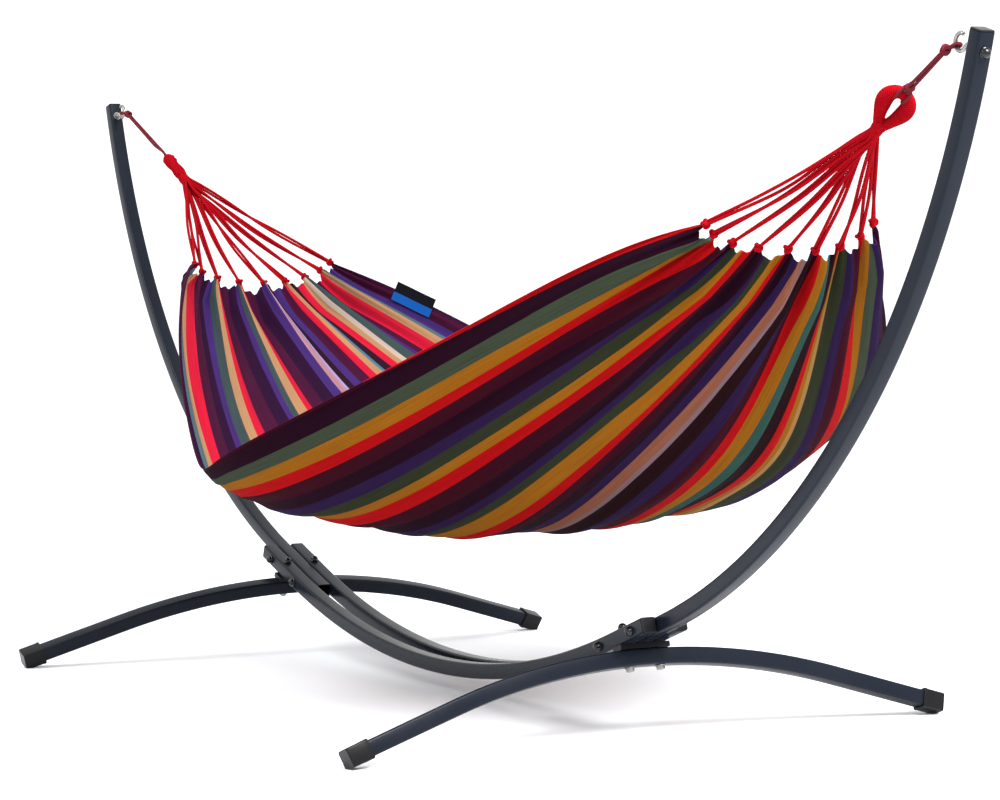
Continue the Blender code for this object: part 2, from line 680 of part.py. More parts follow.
class Suspension:
    """One end's line of pull: from the hook's ring through the eye to the neck."""

    def __init__(self, stand, side, eye, bed_end):
        self.eye = eye
        ring = stand.hook_ring(side)
        self.pull = (eye - ring).normalized()
        self.seat = ring + HOOK_RING_RADIUS * self.pull
        self.up = Vector((0.0, 1.0, 0.0)).cross(self.pull) * side
        self.fall = (bed_end - eye).normalized()
        self.eye_top = eye - EYE_STRETCH * EYE_RING_RADIUS * self.fall
        self.neck_end = eye + (EYE_RING_RADIUS * EYE_STRETCH + NECK_LENGTH) * self.fall

    def at_hook(self, along, y):
        """A point measured from the seat on the hook, along the pull and across it."""
        return self.seat + along * self.pull + Vector((0.0, y, 0.0))

    def at_eye(self, along, y, above=0.0):
        """A point measured from the top of the eye's ring, in the ring's own turn about the pull."""
        across = math.cos(EYE_TWIST) * Vector((0.0, 1.0, 0.0)) + math.sin(EYE_TWIST) * self.up
        lift = math.cos(EYE_TWIST) * self.up - math.sin(EYE_TWIST) * Vector((0.0, 1.0, 0.0))
        return self.eye_top + along * self.pull + y * across + above * lift


def add_rope(parts, materials, name, line):
    """The doubled rope between hook and eye: one cord that loops round the hook and the eye's top."""
    strand = ROPE_STRAND_OFFSET
    loop = HOOK_WIRE_RADIUS + ROPE_RADIUS + HOOK_CLEARANCE
    wrap = EYE_CORD_RADIUS + ROPE_RADIUS + ROPE_CLEARANCE
    controls = [
        line.at_eye(-wrap - 0.026, strand),
        line.at_hook(0.040, strand),
        line.at_hook(0.022, strand),
    ]
    for step in range(9):
        turn = math.pi * (step / 8 - 0.5)
        controls.append(line.at_hook(-loop * math.cos(turn), -loop * math.sin(turn)))
    controls += [
        line.at_hook(0.022, -strand),
        line.at_hook(0.040, -strand),
        line.at_eye(-wrap - 0.026, -strand),
    ]
    for step in range(10):
        turn = math.radians(30.0 + 33.0 * step)
        controls.append(line.at_eye(
            -wrap * math.cos(turn), strand * (0.2 * step - 0.9), wrap * math.sin(turn)
        ))
    points = smooth_route(controls, ROPE_POINT_SPACING)
    add_part(parts, name, wire(name, points, ROPE_RADIUS), materials["rope"])


def add_eye(parts, cutters, materials, name, line):
    """The cord-wrapped eye: a stretched ring that runs into a round neck."""
    across = (line.at_eye(0.0, 1.0) - line.eye_top).cross(line.fall).cross(-line.fall).normalized()
    ring_place = frame_matrix(line.eye, line.fall, across, line.fall.cross(across))
    steps = 16
    turns = [2 * math.pi * step / steps for step in range(steps)]
    ring = [
        Vector((EYE_STRETCH * EYE_RING_RADIUS * math.cos(turn), EYE_RING_RADIUS * math.sin(turn), 0.0))
        for turn in turns
    ]
    curve = wire(name, ring, EYE_CORD_RADIUS, closed=True)
    eye = add_part(parts, name, solid_from(curve, ring_place), materials["cord"], ring_place)
    start = EYE_STRETCH * EYE_RING_RADIUS
    profile = [(0.0, start - NECK_OVERLAP), (EYE_CORD_RADIUS, start - NECK_OVERLAP),
               (NECK_RADIUS, start + EYE_CORD_RADIUS), (NECK_RADIUS, start + NECK_LENGTH),
               (0.0, start + NECK_LENGTH)]
    turn = line.fall.to_track_quat("Z", "X").to_matrix().to_4x4()
    neck = turned_mesh(f"{name}_neck", profile)
    boolean(eye, add_cutter(cutters, f"{name}_neck", neck, Matrix.Translation(line.eye) @ turn), "UNION")


def add_strings(parts, materials, side_name, side, line, bed):
    """The fan of strings from the neck to the bed's gathered end."""
    columns = 3
    across = Vector((0.0, 1.0, 0.0))
    lift = across.cross(line.fall) * side
    for number in range(STRING_COUNT):
        column = number // columns - 1
        layer = number % columns - 1
        start = (line.neck_end + STRING_GAP * line.fall + STRING_GRID * column * across
                 + STRING_GRID * layer * lift * (-1 if column < 0 else 1))
        share = 2 * number / (STRING_COUNT - 1) - 1
        end = bed.end_point(side, share * STRING_SPREAD)
        outward = (end - start).normalized()
        sag = Vector((0.0, 0.0, -STRING_SAG))
        leave = start + STRING_LEAVE * line.fall
        controls = [start, leave, leave.lerp(end, 0.5) + sag, end - BED_CLEARANCE * outward]
        points = smooth_route(controls, STRING_POINT_SPACING)
        name = f"{side_name}_string_{number + 1}"
        add_part(parts, name, wire(name, points, STRING_RADIUS), materials["cord"])


# --- The bed ------------------------------------------------------------------------------------

class Bed:
    """The cotton bed as a surface: u runs from its left end (-1) to its right (1), v across it."""

    def point(self, u, v):
        """A point of the bed's middle surface."""
        share = (math.hypot(u, BED_ROUNDING) - BED_ROUNDING) / (math.hypot(1.0, BED_ROUNDING) - BED_ROUNDING)
        fullness = 1 - share ** BED_WIDTH_POWER
        lift = 1 - share ** BED_RISE_POWER
        if v < 0:
            width, rise, curl = BED_NEAR_WIDTH, BED_NEAR_RISE, BED_NEAR_CURL
        else:
            width, rise, curl = BED_FAR_WIDTH, BED_FAR_RISE, BED_FAR_CURL
        end = BED_RIGHT if u > 0 else BED_LEFT
        power = BED_RIGHT_POWER if u > 0 else BED_LEFT_POWER
        half_width = BED_END_HALF_WIDTH + (width - BED_END_HALF_WIDTH) * fullness
        height = BED_END_RISE + (rise - BED_END_RISE) * lift
        if v < 0:
            height -= BED_DROOP * math.exp(-((u - BED_DROOP_PLACE) / BED_DROOP_REACH) ** 2)
        x = BED_LEFT.x + (BED_RIGHT.x - BED_LEFT.x) * (u + 1) / 2
        y = half_width * math.sin(curl * v) / math.sin(curl)
        middle = BED_LOW_Z + (end.z - BED_LOW_Z) * share ** power
        return Vector((x, y, middle + height * (1 - math.cos(curl * v)) / (1 - math.cos(curl))))

    def end_point(self, side, v):
        """A point on the bed's end edge, at the middle of its thickness."""
        return self.point(side, v)

    def mesh(self, name):
        """The bed as an open grid, from its left end to its right."""
        shape = bmesh.new()
        bmesh.ops.create_grid(shape, x_segments=BED_SECTIONS, y_segments=BED_STRIPS, size=1.0)
        for vert in shape.verts:
            vert.co = self.point(vert.co.x, vert.co.y)
        mesh = mesh_from(name, shape)
        mesh.shade_smooth()
        return mesh


def add_bed(parts, materials, bed):
    """The bed, given its thickness by a Solidify modifier."""
    part = add_part(parts, "hammock_bed", bed.mesh("hammock_bed"), materials["fabric"])
    thickness = part.modifiers.new("thickness", "SOLIDIFY")
    thickness.thickness = BED_THICKNESS
    thickness.offset = 0.0


# --- Assembly -----------------------------------------------------------------------------------

def main():
    """Build the whole object."""
    parts, cutters = start_file()
    materials = make_materials()
    stand = Stand()
    bed = Bed()
    add_rails(parts, cutters, materials, stand)
    add_posts(parts, cutters, materials, stand)
    add_feet(parts, cutters, materials, stand)
    add_bolts(parts, materials, stand)
    add_hooks(parts, materials, stand)
    add_bed(parts, materials, bed)
    for side_name, side, eye, bed_end in (("left", -1, LEFT_EYE, BED_LEFT), ("right", 1, RIGHT_EYE, BED_RIGHT)):
        line = Suspension(stand, side, eye, bed_end)
        add_rope(parts, materials, f"{side_name}_hanger_rope", line)
        add_eye(parts, cutters, materials, f"{side_name}_eye", line)
        add_strings(parts, materials, side_name, side, line, bed)


main()
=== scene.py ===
# %% [markdown]
# # A striped cotton hammock on a bent steel stand
# The engineering model of the stand and the hammock is loaded first and never moved.  Around it this
# lesson makes everything that the eye reads: round-cornered powder-coated tubes, domed plastic nuts, braided
# rope, twisted cotton strings with their knots, and a cotton cloth that hangs in folds from its two ends.

# %% Load the engineering model
import math
import random

import bmesh
import bpy
from mathutils import Matrix, Vector, noise


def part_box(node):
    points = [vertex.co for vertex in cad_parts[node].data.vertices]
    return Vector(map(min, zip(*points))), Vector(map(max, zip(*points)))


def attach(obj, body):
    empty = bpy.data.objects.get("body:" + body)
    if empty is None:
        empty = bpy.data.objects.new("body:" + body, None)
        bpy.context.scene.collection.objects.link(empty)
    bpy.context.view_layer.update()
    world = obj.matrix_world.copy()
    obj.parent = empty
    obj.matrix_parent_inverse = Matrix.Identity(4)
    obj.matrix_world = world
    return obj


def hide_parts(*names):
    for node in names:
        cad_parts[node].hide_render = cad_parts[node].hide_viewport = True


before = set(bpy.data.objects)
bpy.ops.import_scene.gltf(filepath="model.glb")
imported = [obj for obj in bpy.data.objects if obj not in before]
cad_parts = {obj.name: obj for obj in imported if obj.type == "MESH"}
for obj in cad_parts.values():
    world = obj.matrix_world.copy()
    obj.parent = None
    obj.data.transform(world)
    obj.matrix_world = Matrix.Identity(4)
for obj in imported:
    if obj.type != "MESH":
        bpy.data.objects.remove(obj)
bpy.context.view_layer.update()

SIDE = {"left": -1, "right": 1}
ALONG_STAND = Vector((1.0, 0.0, 0.0))
ACROSS = Vector((0.0, 1.0, 0.0))
UP = Vector((0.0, 0.0, 1.0))


def turned(angle, first, second):
    """A direction turned from a first one towards a second one, square to it."""
    return math.cos(angle) * first + math.sin(angle) * second


def frame_matrix(origin, x_axis, y_axis, z_axis):
    """A placement from an origin and three unit axes."""
    matrix = Matrix((x_axis, y_axis, z_axis)).transposed().to_4x4()
    matrix.translation = origin
    return matrix


def add_object(name, data):
    """A new object in the scene."""
    thing = bpy.data.objects.new(name, data)
    bpy.context.scene.collection.objects.link(thing)
    return thing


# %% [markdown]
# The camera stands a little above seat height, off the stand's right front corner, with a long lens, so that
# the near post looks only a little larger than the far one.

# %% Camera
CAMERA_PLACE = Vector((5.566, -2.916, 0.877))
CAMERA_YAW = 1.074
CAMERA_PITCH = -0.054
CAMERA_ROLL = -0.010
CAMERA_LENS = 122.5


def place_camera():
    """Aim the camera with a yaw, a pitch and a small roll."""
    level = turned(CAMERA_YAW, ALONG_STAND, ACROSS)
    forward = turned(CAMERA_PITCH, turned(CAMERA_YAW, ACROSS, -ALONG_STAND), UP)
    above = level.cross(forward)
    data = bpy.data.cameras.new("camera")
    data.lens = CAMERA_LENS
    data.sensor_width = 36.0
    camera = add_object("camera", data)
    camera.matrix_world = frame_matrix(
        CAMERA_PLACE, turned(CAMERA_ROLL, level, above), turned(CAMERA_ROLL, above, -level), -forward
    )
    bpy.context.scene.camera = camera


place_camera()
print("camera at", tuple(CAMERA_PLACE))

# %% [markdown]
# The studio is one pale floor under a bright, even sky.  A large soft lamp high in front, a little to the left,
# gives the tubes their light faces, and one above the right end shines along the bed onto its inner face.

# %% Studio
def new_material(name, colour, roughness, metallic=0.0, specular=0.02):
    """A Principled material, its node tree and its shader."""
    material = bpy.data.materials.new(name)
    material.use_nodes = True
    shader = material.node_tree.nodes["Principled BSDF"]
    shader.inputs["Base Color"].default_value = (*colour, 1.0)
    shader.inputs["Roughness"].default_value = roughness
    shader.inputs["Metallic"].default_value = metallic
    shader.inputs["Specular IOR Level"].default_value = specular
    return material, material.node_tree, shader


def add_area_light(name, place, target, size, power):
    """A large rectangular lamp aimed at a point."""
    data = bpy.data.lights.new(name, "AREA")
    data.shape = "RECTANGLE"
    data.size, data.size_y = size
    data.energy = power
    aim = (Vector(target) - Vector(place)).to_track_quat("-Z", "Y")
    add_object(name, data).matrix_world = Matrix.Translation(place) @ aim.to_matrix().to_4x4()


def make_studio():
    """Floor, sky and lamps."""
    world = bpy.data.worlds.new("studio_sky")
    world.use_nodes = True
    sky = world.node_tree.nodes["Background"]
    sky.inputs["Color"].default_value = (1.0, 1.0, 1.0, 1.0)
    sky.inputs["Strength"].default_value = 1.3
    bpy.context.scene.world = world
    shape = bmesh.new()
    bmesh.ops.create_grid(shape, x_segments=1, y_segments=1, size=30.0)
    mesh = bpy.data.meshes.new("studio_floor")
    shape.to_mesh(mesh)
    shape.free()
    mesh.materials.append(new_material("pale_floor", (0.955, 0.975, 1.0), 0.9, specular=0.1)[0])
    add_object("studio_floor", mesh)
    add_area_light("key_lamp", (-1.0, -4.0, 5.0), (0.0, 0.0, 0.5), (3.0, 3.0), 190.0)
    add_area_light("fill_lamp", (3.0, 0.4, 2.9), (-0.7, 0.0, 0.5), (1.5, 1.5), 230.0)


make_studio()
bpy.context.scene.view_settings.view_transform = "Standard"
print("studio ready")

# %% [markdown]
# Small faults of a finish, such as the orange-peel of powder coat or the tooth of moulded plastic, are the
# same idea at different sizes: fine noise that tilts the surface, and broad noise that shifts its shine.  One
# shader group makes both, and each finish gives it its own sizes.

# %% Shader groups
def add_node(tree, kind, inputs, **settings):
    """One node with its settings; each input is a socket to link or a plain value."""
    node = tree.nodes.new(kind)
    for label, value in settings.items():
        setattr(node, label, value)
    for label, value in inputs.items():
        if isinstance(value, bpy.types.NodeSocket):
            tree.links.new(value, node.inputs[label])
        else:
            node.inputs[label].default_value = value
    return node


def add_math(tree, operation, *values):
    """The result of one Math node."""
    return add_node(tree, "ShaderNodeMath", dict(enumerate(values)), operation=operation).outputs[0]


def add_noise(tree, vector, scale, detail):
    """A noise's value at a vector."""
    inputs = {"Vector": vector, "Scale": scale, "Detail": detail}
    return add_node(tree, "ShaderNodeTexNoise", inputs).outputs["Fac"]


def mix_colours(tree, factor, first, second, blend="MIX"):
    """Two colours mixed; each is a socket or three numbers."""
    inputs = {"Factor": factor}
    for label, value in (("A", first), ("B", second)):
        inputs[label] = value if isinstance(value, bpy.types.NodeSocket) else (*value, 1.0)
    return add_node(tree, "ShaderNodeMix", inputs, data_type="RGBA", blend_type=blend).outputs["Result"]


def read_map(tree, name):
    """A UV map as a vector, and its two parts."""
    vector = add_node(tree, "ShaderNodeUVMap", {}, uv_map=name).outputs["UV"]
    split = add_node(tree, "ShaderNodeSeparateXYZ", {"Vector": vector})
    return vector, split.outputs["X"], split.outputs["Y"]


def new_group(name, inputs, outputs):
    """A shader node group of floats: itself, its given sockets and its result's sockets."""
    group = bpy.data.node_groups.new(name, "ShaderNodeTree")
    for label, value in inputs.items():
        group.interface.new_socket(label, in_out="INPUT", socket_type="NodeSocketFloat").default_value = value
    for label in outputs:
        group.interface.new_socket(label, in_out="OUTPUT", socket_type="NodeSocketFloat")
    return group, group.nodes.new("NodeGroupInput").outputs, group.nodes.new("NodeGroupOutput").inputs


def make_grain_group():
    """Fine height and broad shine from two noises on the piece's own coordinates."""
    group, given, result = new_group(
        "fine_grain", {"Grain Size": 900.0, "Broad Size": 9.0, "Shine Low": 0.2, "Shine High": 0.4},
        ("Height", "Shine", "Broad"),
    )
    place = add_node(group, "ShaderNodeTexCoord", {}).outputs["Object"]
    fine = add_noise(group, place, given["Grain Size"], 3.0)
    broad = add_noise(group, place, given["Broad Size"], 4.0)
    shine = add_node(group, "ShaderNodeMapRange", {
        "Value": broad, "From Min": 0.3, "From Max": 0.7,
        "To Min": given["Shine Low"], "To Max": given["Shine High"],
    })
    for label, value in (("Height", fine), ("Shine", shine.outputs["Result"]), ("Broad", broad)):
        group.links.new(value, result[label])
    return group


def make_cord_group():
    """Laid yarn on a cord, from its UV map: x is metres along it and y is once round it."""
    group, given, result = new_group(
        "laid_yarn", {"Turns per Metre": 300.0, "Yarns Round": 3.0}, ("Height", "Tone")
    )
    _, x, y = read_map(group, "along_and_round")
    turns = add_math(group, "ADD", add_math(group, "MULTIPLY", x, given["Turns per Metre"]),
                     add_math(group, "MULTIPLY", y, given["Yarns Round"]))
    yarn = add_math(group, "ABSOLUTE", add_math(group, "SINE", add_math(group, "MULTIPLY", turns, math.tau)))
    place = add_node(group, "ShaderNodeTexCoord", {}).outputs["Object"]
    fluff = add_math(group, "MULTIPLY", add_noise(group, place, 700.0, 2.0), 0.5)
    group.links.new(add_math(group, "ADD", yarn, fluff), result["Height"])
    # The second output is painted shade: dark in the grooves between yarns, light on their crowns.
    group.links.new(add_math(group, "MULTIPLY_ADD", yarn, 0.5, 0.5), result["Tone"])
    return group


FINE_GRAIN = make_grain_group()
LAID_YARN = make_cord_group()
print("shader groups:", FINE_GRAIN.name, LAID_YARN.name)

# %% [markdown]
# A finish mixes a darker and a lighter colour by a group's mask and takes its relief from the group's height.
# Powder coat, plastic, nylon and zinc plate are grained.  Cotton and rope have their yarns laid round them in a
# slow screw, which the group draws from the cord's own map, with a fine noise for the fluff.  On a cord the
# darker colour is painted shade between the yarns and the lighter one is painted light on their crowns.

# %% Hard finishes and cord finishes
def add_bump(tree, shader, height, strength, distance):
    """Feed a height into the shader's normal."""
    bump = add_node(tree, "ShaderNodeBump", {"Height": height, "Strength": strength, "Distance": distance})
    tree.links.new(bump.outputs["Normal"], shader.inputs["Normal"])


def add_pattern(parts, pattern, values, mask, dark, light, bump):
    """Colour and relief from a shader group, whose node is returned."""
    _, tree, shader = parts
    group = add_node(tree, "ShaderNodeGroup", values, node_tree=pattern)
    tree.links.new(mix_colours(tree, group.outputs[mask], dark, light), shader.inputs["Base Color"])
    add_bump(tree, shader, group.outputs["Height"], *bump)
    return group


def hard_finish(name, dark, light, grain, shine, bump, specular, metallic=0.0):
    """A hard surface with grain, uneven shine and a slight shift of colour."""
    parts = new_material(name, dark, shine[0], metallic, specular)
    values = {"Grain Size": grain, "Shine Low": shine[0], "Shine High": shine[1]}
    group = add_pattern(parts, FINE_GRAIN, values, "Broad", dark, light, bump)
    parts[1].links.new(group.outputs["Shine"], parts[2].inputs["Roughness"])
    return parts[0]


def cord_finish(name, deep, bright, turns, yarns, bump):
    """A dyed cord with painted shade: darker between its yarns and lighter on them."""
    parts = new_material(name, bright, 0.85)
    add_pattern(parts, LAID_YARN, {"Turns per Metre": turns, "Yarns Round": yarns}, "Tone", deep, bright, bump)
    return parts[0]


POWDER_COAT = hard_finish("anthracite_powder_coat", (0.005, 0.007, 0.013), (0.008, 0.011, 0.018), 1100.0,
                          (0.22, 0.32), (0.12, 0.0004), 0.11)
BLACK_PLASTIC = hard_finish("moulded_black_plastic", (0.004, 0.004, 0.005), (0.007, 0.007, 0.008), 2100.0,
                            (0.26, 0.38), (0.20, 0.0003), 0.14)
GLOSSY_BLACK = hard_finish("glossy_black_nylon", (0.004, 0.004, 0.006), (0.006, 0.006, 0.008), 900.0,
                           (0.08, 0.14), (0.03, 0.0002), 0.35)
ZINC = hard_finish("bright_zinc_plate", (0.20, 0.20, 0.19), (0.34, 0.34, 0.32), 1600.0,
                   (0.22, 0.38), (0.12, 0.0002), 0.5, metallic=1.0)
# Each cord's darker colour is painted shade between the yarns, and its lighter colour is painted light on them.
RED_COTTON = cord_finish("red_cotton_cord", (0.10, 0.001, 0.002), (0.28, 0.002, 0.006),
                         190.0, 2.0, (0.4, 0.0005))
ROPE_BRAID = cord_finish("burgundy_braid", (0.040, 0.004, 0.007), (0.125, 0.016, 0.022),
                         330.0, 1.0, (0.5, 0.0004))
print("finishes:", [finish.name for finish in (POWDER_COAT, BLACK_PLASTIC, GLOSSY_BLACK, ZINC)])
print("cords:", RED_COTTON.name, ROPE_BRAID.name)

# %% [markdown]
# The cloth is woven with long stripes.  Their order is a list of edges across the cloth, from the near hem to
# Warp threads of one stripe vary a little in tone, so a noise that is
# stretched along the cloth streaks the colour, and two fine ripples stand for the weave.  The inner face is
# lit and the outer face is in shade, so the inner face has a second material whose stripes are painted lighter:
# painted light.

# %% Cloth finish
DARK_PLUM = (0.0085, 0.0012, 0.0052)
MAROON = (0.022, 0.0016, 0.0055)
BROWN = (0.009, 0.0018, 0.003)
VIOLET = (0.013, 0.005, 0.027)
RED = (0.235, 0.002, 0.003)
OCHRE = (0.175, 0.062, 0.004)
SAND = (0.2, 0.11, 0.035)
GREEN = (0.015, 0.018, 0.009)
GREY_GREEN = (0.026, 0.034, 0.021)
TEAL = (0.017, 0.046, 0.038)
TAN = (0.15, 0.052, 0.030)
LILAC = (0.12, 0.073, 0.082)

CLOTH_FLAT = (1.30, 2.10)
HEM_START = 1.35
HEM_WIDE = 0.055
STREAK_SCALE = (7.0, 260.0, 1.0)
WEAVE_PITCH = (4200.0, 3400.0)
NEAR_STRIPES = [
    (-1.0, MAROON), (-0.985, DARK_PLUM), (-0.888, GREY_GREEN), (-0.830, OCHRE), (-0.772, RED), (-0.715, MAROON),
    (-0.655, DARK_PLUM), (-0.600, VIOLET), (-0.558, GREEN), (-0.505, OCHRE), (-0.458, RED), (-0.412, MAROON),
    (-0.352, DARK_PLUM), (-0.300, VIOLET), (-0.272, GREEN), (-0.240, OCHRE), (-0.178, RED), (-0.138, MAROON),
    (-0.095, DARK_PLUM), (-0.045, VIOLET), (-0.005, TAN),
]
FAR_STRIPES = [
    (0.0, TAN), (0.030, LILAC), (0.046, BROWN), (0.092, VIOLET), (0.135, MAROON), (0.180, RED),
    (0.220, OCHRE), (0.262, TEAL), (0.300, BROWN), (0.350, RED), (0.392, OCHRE), (0.425, SAND), (0.450, GREEN),
    (0.512, VIOLET), (0.560, MAROON), (0.615, RED), (0.690, OCHRE), (0.755, GREY_GREEN), (0.800, VIOLET),
    (0.872, MAROON), (0.965, DARK_PLUM),
]


def painted_light_colour(colour):
    """A stripe's colour with painted light for the lit inner face: lighter, and cooler where it is pale."""
    red, green, blue = colour
    return (
        1.55 * red + 0.5 * blue,
        2.3 * green + 0.010 * red + 0.1 * blue,
        3.3 * blue + 0.8 * green + 0.05 * red,
    )


def add_ramp(tree, stripes, change, factor):
    """A hard-edged colour ramp over one half of the cloth, from its first stripe's edge."""
    ramp = add_node(tree, "ShaderNodeValToRGB", {"Fac": factor})
    ramp.color_ramp.interpolation = "CONSTANT"
    elements = ramp.color_ramp.elements
    while len(elements) > 1:
        elements.remove(elements[-1])
    for index, (edge, colour) in enumerate(stripes):
        position = edge - stripes[0][0]
        element = elements[0] if index == 0 else elements.new(position)
        element.position = position
        element.color = (*change(colour), 1.0)
    return ramp.outputs["Color"]


def cloth_finish(name, change):
    """Striped cotton, with each stripe's colour changed by a function."""
    material, tree, shader = new_material(name, MAROON, 0.85)
    uv, along, flat_across = read_map(tree, "along_and_across")
    stretched = add_node(tree, "ShaderNodeMapping", {"Vector": uv, "Scale": STREAK_SCALE}).outputs["Vector"]
    streaks = add_noise(tree, stretched, 1.0, 3.0)
    wander = add_math(tree, "MULTIPLY", add_math(tree, "SUBTRACT", streaks, 0.5), 0.004)
    across = add_math(tree, "ADD", flat_across, wander)
    near = add_ramp(tree, NEAR_STRIPES, change, add_math(tree, "ADD", across, 1.0))
    far = add_ramp(tree, FAR_STRIPES, change, across)
    hem = add_node(tree, "ShaderNodeMapRange", {
        "Value": along, "From Min": HEM_START, "From Max": CLOTH_FLAT[1],
        "To Min": -1.01, "To Max": HEM_WIDE - 1.0,
    }).outputs["Result"]
    near = mix_colours(tree, add_math(tree, "LESS_THAN", across, hem), near, change(RED))
    stripes = mix_colours(tree, add_math(tree, "GREATER_THAN", across, 0.0), near, far)
    ripples = [add_math(tree, "SINE", add_math(tree, "MULTIPLY", part, pitch))
               for part, pitch in zip((along, flat_across), WEAVE_PITCH)]
    weave = add_math(tree, "MULTIPLY", *ripples)
    shade = add_math(tree, "MULTIPLY_ADD", weave, 0.08, add_math(tree, "MULTIPLY_ADD", streaks, 0.9, 0.58))
    channels = dict.fromkeys(("Red", "Green", "Blue"), shade)
    grey = add_node(tree, "ShaderNodeCombineColor", channels).outputs["Color"]
    tree.links.new(mix_colours(tree, 1.0, stripes, grey, "MULTIPLY"), shader.inputs["Base Color"])
    add_bump(tree, shader, add_math(tree, "ADD", weave, streaks), 0.35, 0.0005)
    return material


CLOTH = cloth_finish("striped_cotton", tuple)
# The inner face's copy carries painted light: every stripe is painted lighter, as if the lamps fell on that
# face.
CLOTH_INSIDE = cloth_finish("striped_cotton_bleached", painted_light_colour)
print("cloth finishes:", len(NEAR_STRIPES) + len(FAR_STRIPES), "stripes each")

# %% [markdown]
# The stand's tubes are square with rounded corners and bend in one plane.  A rounded square is carried along
# the tube's own path, section by section, so that every bend is smooth and both ends stay hollow.

# %% Sweeping a square tube
TUBE = 0.028
WALL = 0.002
CORNER_RADIUS = 0.0042
ARC_STEP = math.radians(1.1)


def follow(start, heading, runs):
    """Points and headings along a flat path; each run is a (length, turn, radius)."""
    stations = [(Vector(start), heading)]
    for length, turn, radius in runs:
        point, angle = stations[-1]
        if not turn:
            stations.append((point + length * Vector((math.cos(angle), math.sin(angle))), angle))
            continue
        side = math.copysign(1.0, turn)
        centre = point + side * radius * Vector((-math.sin(angle), math.cos(angle)))
        steps = math.ceil(abs(turn) / ARC_STEP)
        for step in range(1, steps + 1):
            now = angle + turn * step / steps
            stations.append((centre + side * radius * Vector((math.sin(now), -math.cos(now))), now))
    return stations


def section_matrix(station):
    """A cross-section's place in the XZ plane: its x across the tube, its y to the left of the path."""
    point, angle = station
    return frame_matrix(
        Vector((point.x, 0.0, point.y)), ACROSS, turned(angle, UP, -ALONG_STAND), turned(angle, ALONG_STAND, UP)
    )


def rounded_square(side, radius, steps=5):
    """Points round a square with rounded corners."""
    reach = side / 2 - radius
    outline = []
    for corner in range(4):
        for step in range(steps + 1):
            angle = math.pi / 2 * (corner + step / steps)
            middle = Matrix.Rotation(corner * math.pi / 2, 2) @ Vector((reach, reach))
            outline.append(middle + radius * Vector((math.cos(angle), math.sin(angle))))
    return outline


def new_piece(mesh, material, body="stand", replaced=()):
    """Put a finished mesh in the scene and tell the frame what it is."""
    if not mesh.materials:
        mesh.materials.append(material)
    piece = add_object(mesh.name, mesh)
    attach(piece, body)
    if replaced:
        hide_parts(*replaced)
    return piece


def bridge(shape, rings, caps=True):
    """Walls between rings of vertices, and a cap on each end."""
    for before, after in zip(rings, rings[1:]):
        for index in range(len(before)):
            turn = (index + 1) % len(before)
            shape.faces.new((before[index], before[turn], after[turn], after[index]))
    if caps:
        shape.faces.new(rings[0][::-1])
        shape.faces.new(rings[-1])
    bmesh.ops.recalc_face_normals(shape, faces=shape.faces)


def finish_mesh(name, shape, sharp_degrees):
    """Turn a bmesh into a smooth-shaded mesh whose real edges stay sharp."""
    mesh = bpy.data.meshes.new(name)
    shape.to_mesh(mesh)
    shape.free()
    mesh.shade_smooth()
    mesh.set_sharp_from_angle(angle=math.radians(sharp_degrees))
    return mesh


def square_ring(shape, section, side, radius, height=0.0):
    """A ring of vertices round a rounded square."""
    return [shape.verts.new(section @ Vector((*point, height))) for point in rounded_square(side, radius)]


def tube_mesh(name, stations, place):
    """A hollow rounded-square tube along a path: up its outside, then back down its inside."""
    shape = bmesh.new()
    sections = [place @ section_matrix(station) for station in stations]
    rings = [square_ring(shape, section, TUBE, CORNER_RADIUS) for section in sections]
    rings += [square_ring(shape, section, TUBE - 2 * WALL, CORNER_RADIUS - WALL) for section in sections[::-1]]
    bridge(shape, rings + rings[:1], caps=False)
    return finish_mesh(name, shape, 40.0)


# %% [markdown]
# The two lower rails lie side by side with the posts' lower ends between them.  Each post first follows the
# rails' arc, then runs straight, then bends up and inwards with a tighter radius.

# %% Rails and posts
RAIL_RADIUS = 1.915
RAIL_ANGLE = math.radians(19.5)
RAIL_STRAIGHT = 0.118
RAIL_Y = 0.0298
POST_TAIL = 0.084
POST_STRAIGHT = 0.123
POST_RADIUS = 1.400
POST_TOP = math.radians(74.0)
RAIL_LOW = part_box("front_lower_rail")[0][2] + TUBE / 2
ALONG = turned(RAIL_ANGLE, ALONG_STAND, UP)
ABOVE = turned(RAIL_ANGLE, UP, -ALONG_STAND)
ARC_END = (RAIL_LOW + RAIL_RADIUS) * UP - RAIL_RADIUS * ABOVE


def at_side(side, point, y=0.0):
    """The same point or direction at one end of the stand, and moved sideways."""
    return Vector((side * point.x, y, point.z))


def on_rail(side, distance, y=0.0, above=0.0):
    """A point beside one end of the rails: a distance beyond the arc, and above its middle."""
    return at_side(side, ARC_END + distance * ALONG + above * ABOVE, y)


def make_rails():
    """Both rails, with a plug in each end."""
    start = (-ARC_END.x - RAIL_STRAIGHT * ALONG.x, ARC_END.z + RAIL_STRAIGHT * ALONG.z)
    stations = follow(start, -RAIL_ANGLE, [
        (RAIL_STRAIGHT, 0.0, 0.0), (0.0, 2 * RAIL_ANGLE, RAIL_RADIUS), (RAIL_STRAIGHT, 0.0, 0.0),
    ])
    for name, row in (("front_lower_rail", -1), ("rear_lower_rail", 1)):
        place = Matrix.Translation((0.0, row * RAIL_Y, 0.0))
        mesh = tube_mesh(f"{name}_tube", stations, place)
        new_piece(mesh, POWDER_COAT, replaced=[name])
        for end_name, station, flip in (("left", stations[0], math.pi), ("right", stations[-1], 0.0)):
            section = place @ section_matrix(station) @ Matrix.Rotation(flip, 4, "X")
            plug = plug_mesh(f"{name}_{end_name}_plug", section)
            new_piece(plug, BLACK_PLASTIC)


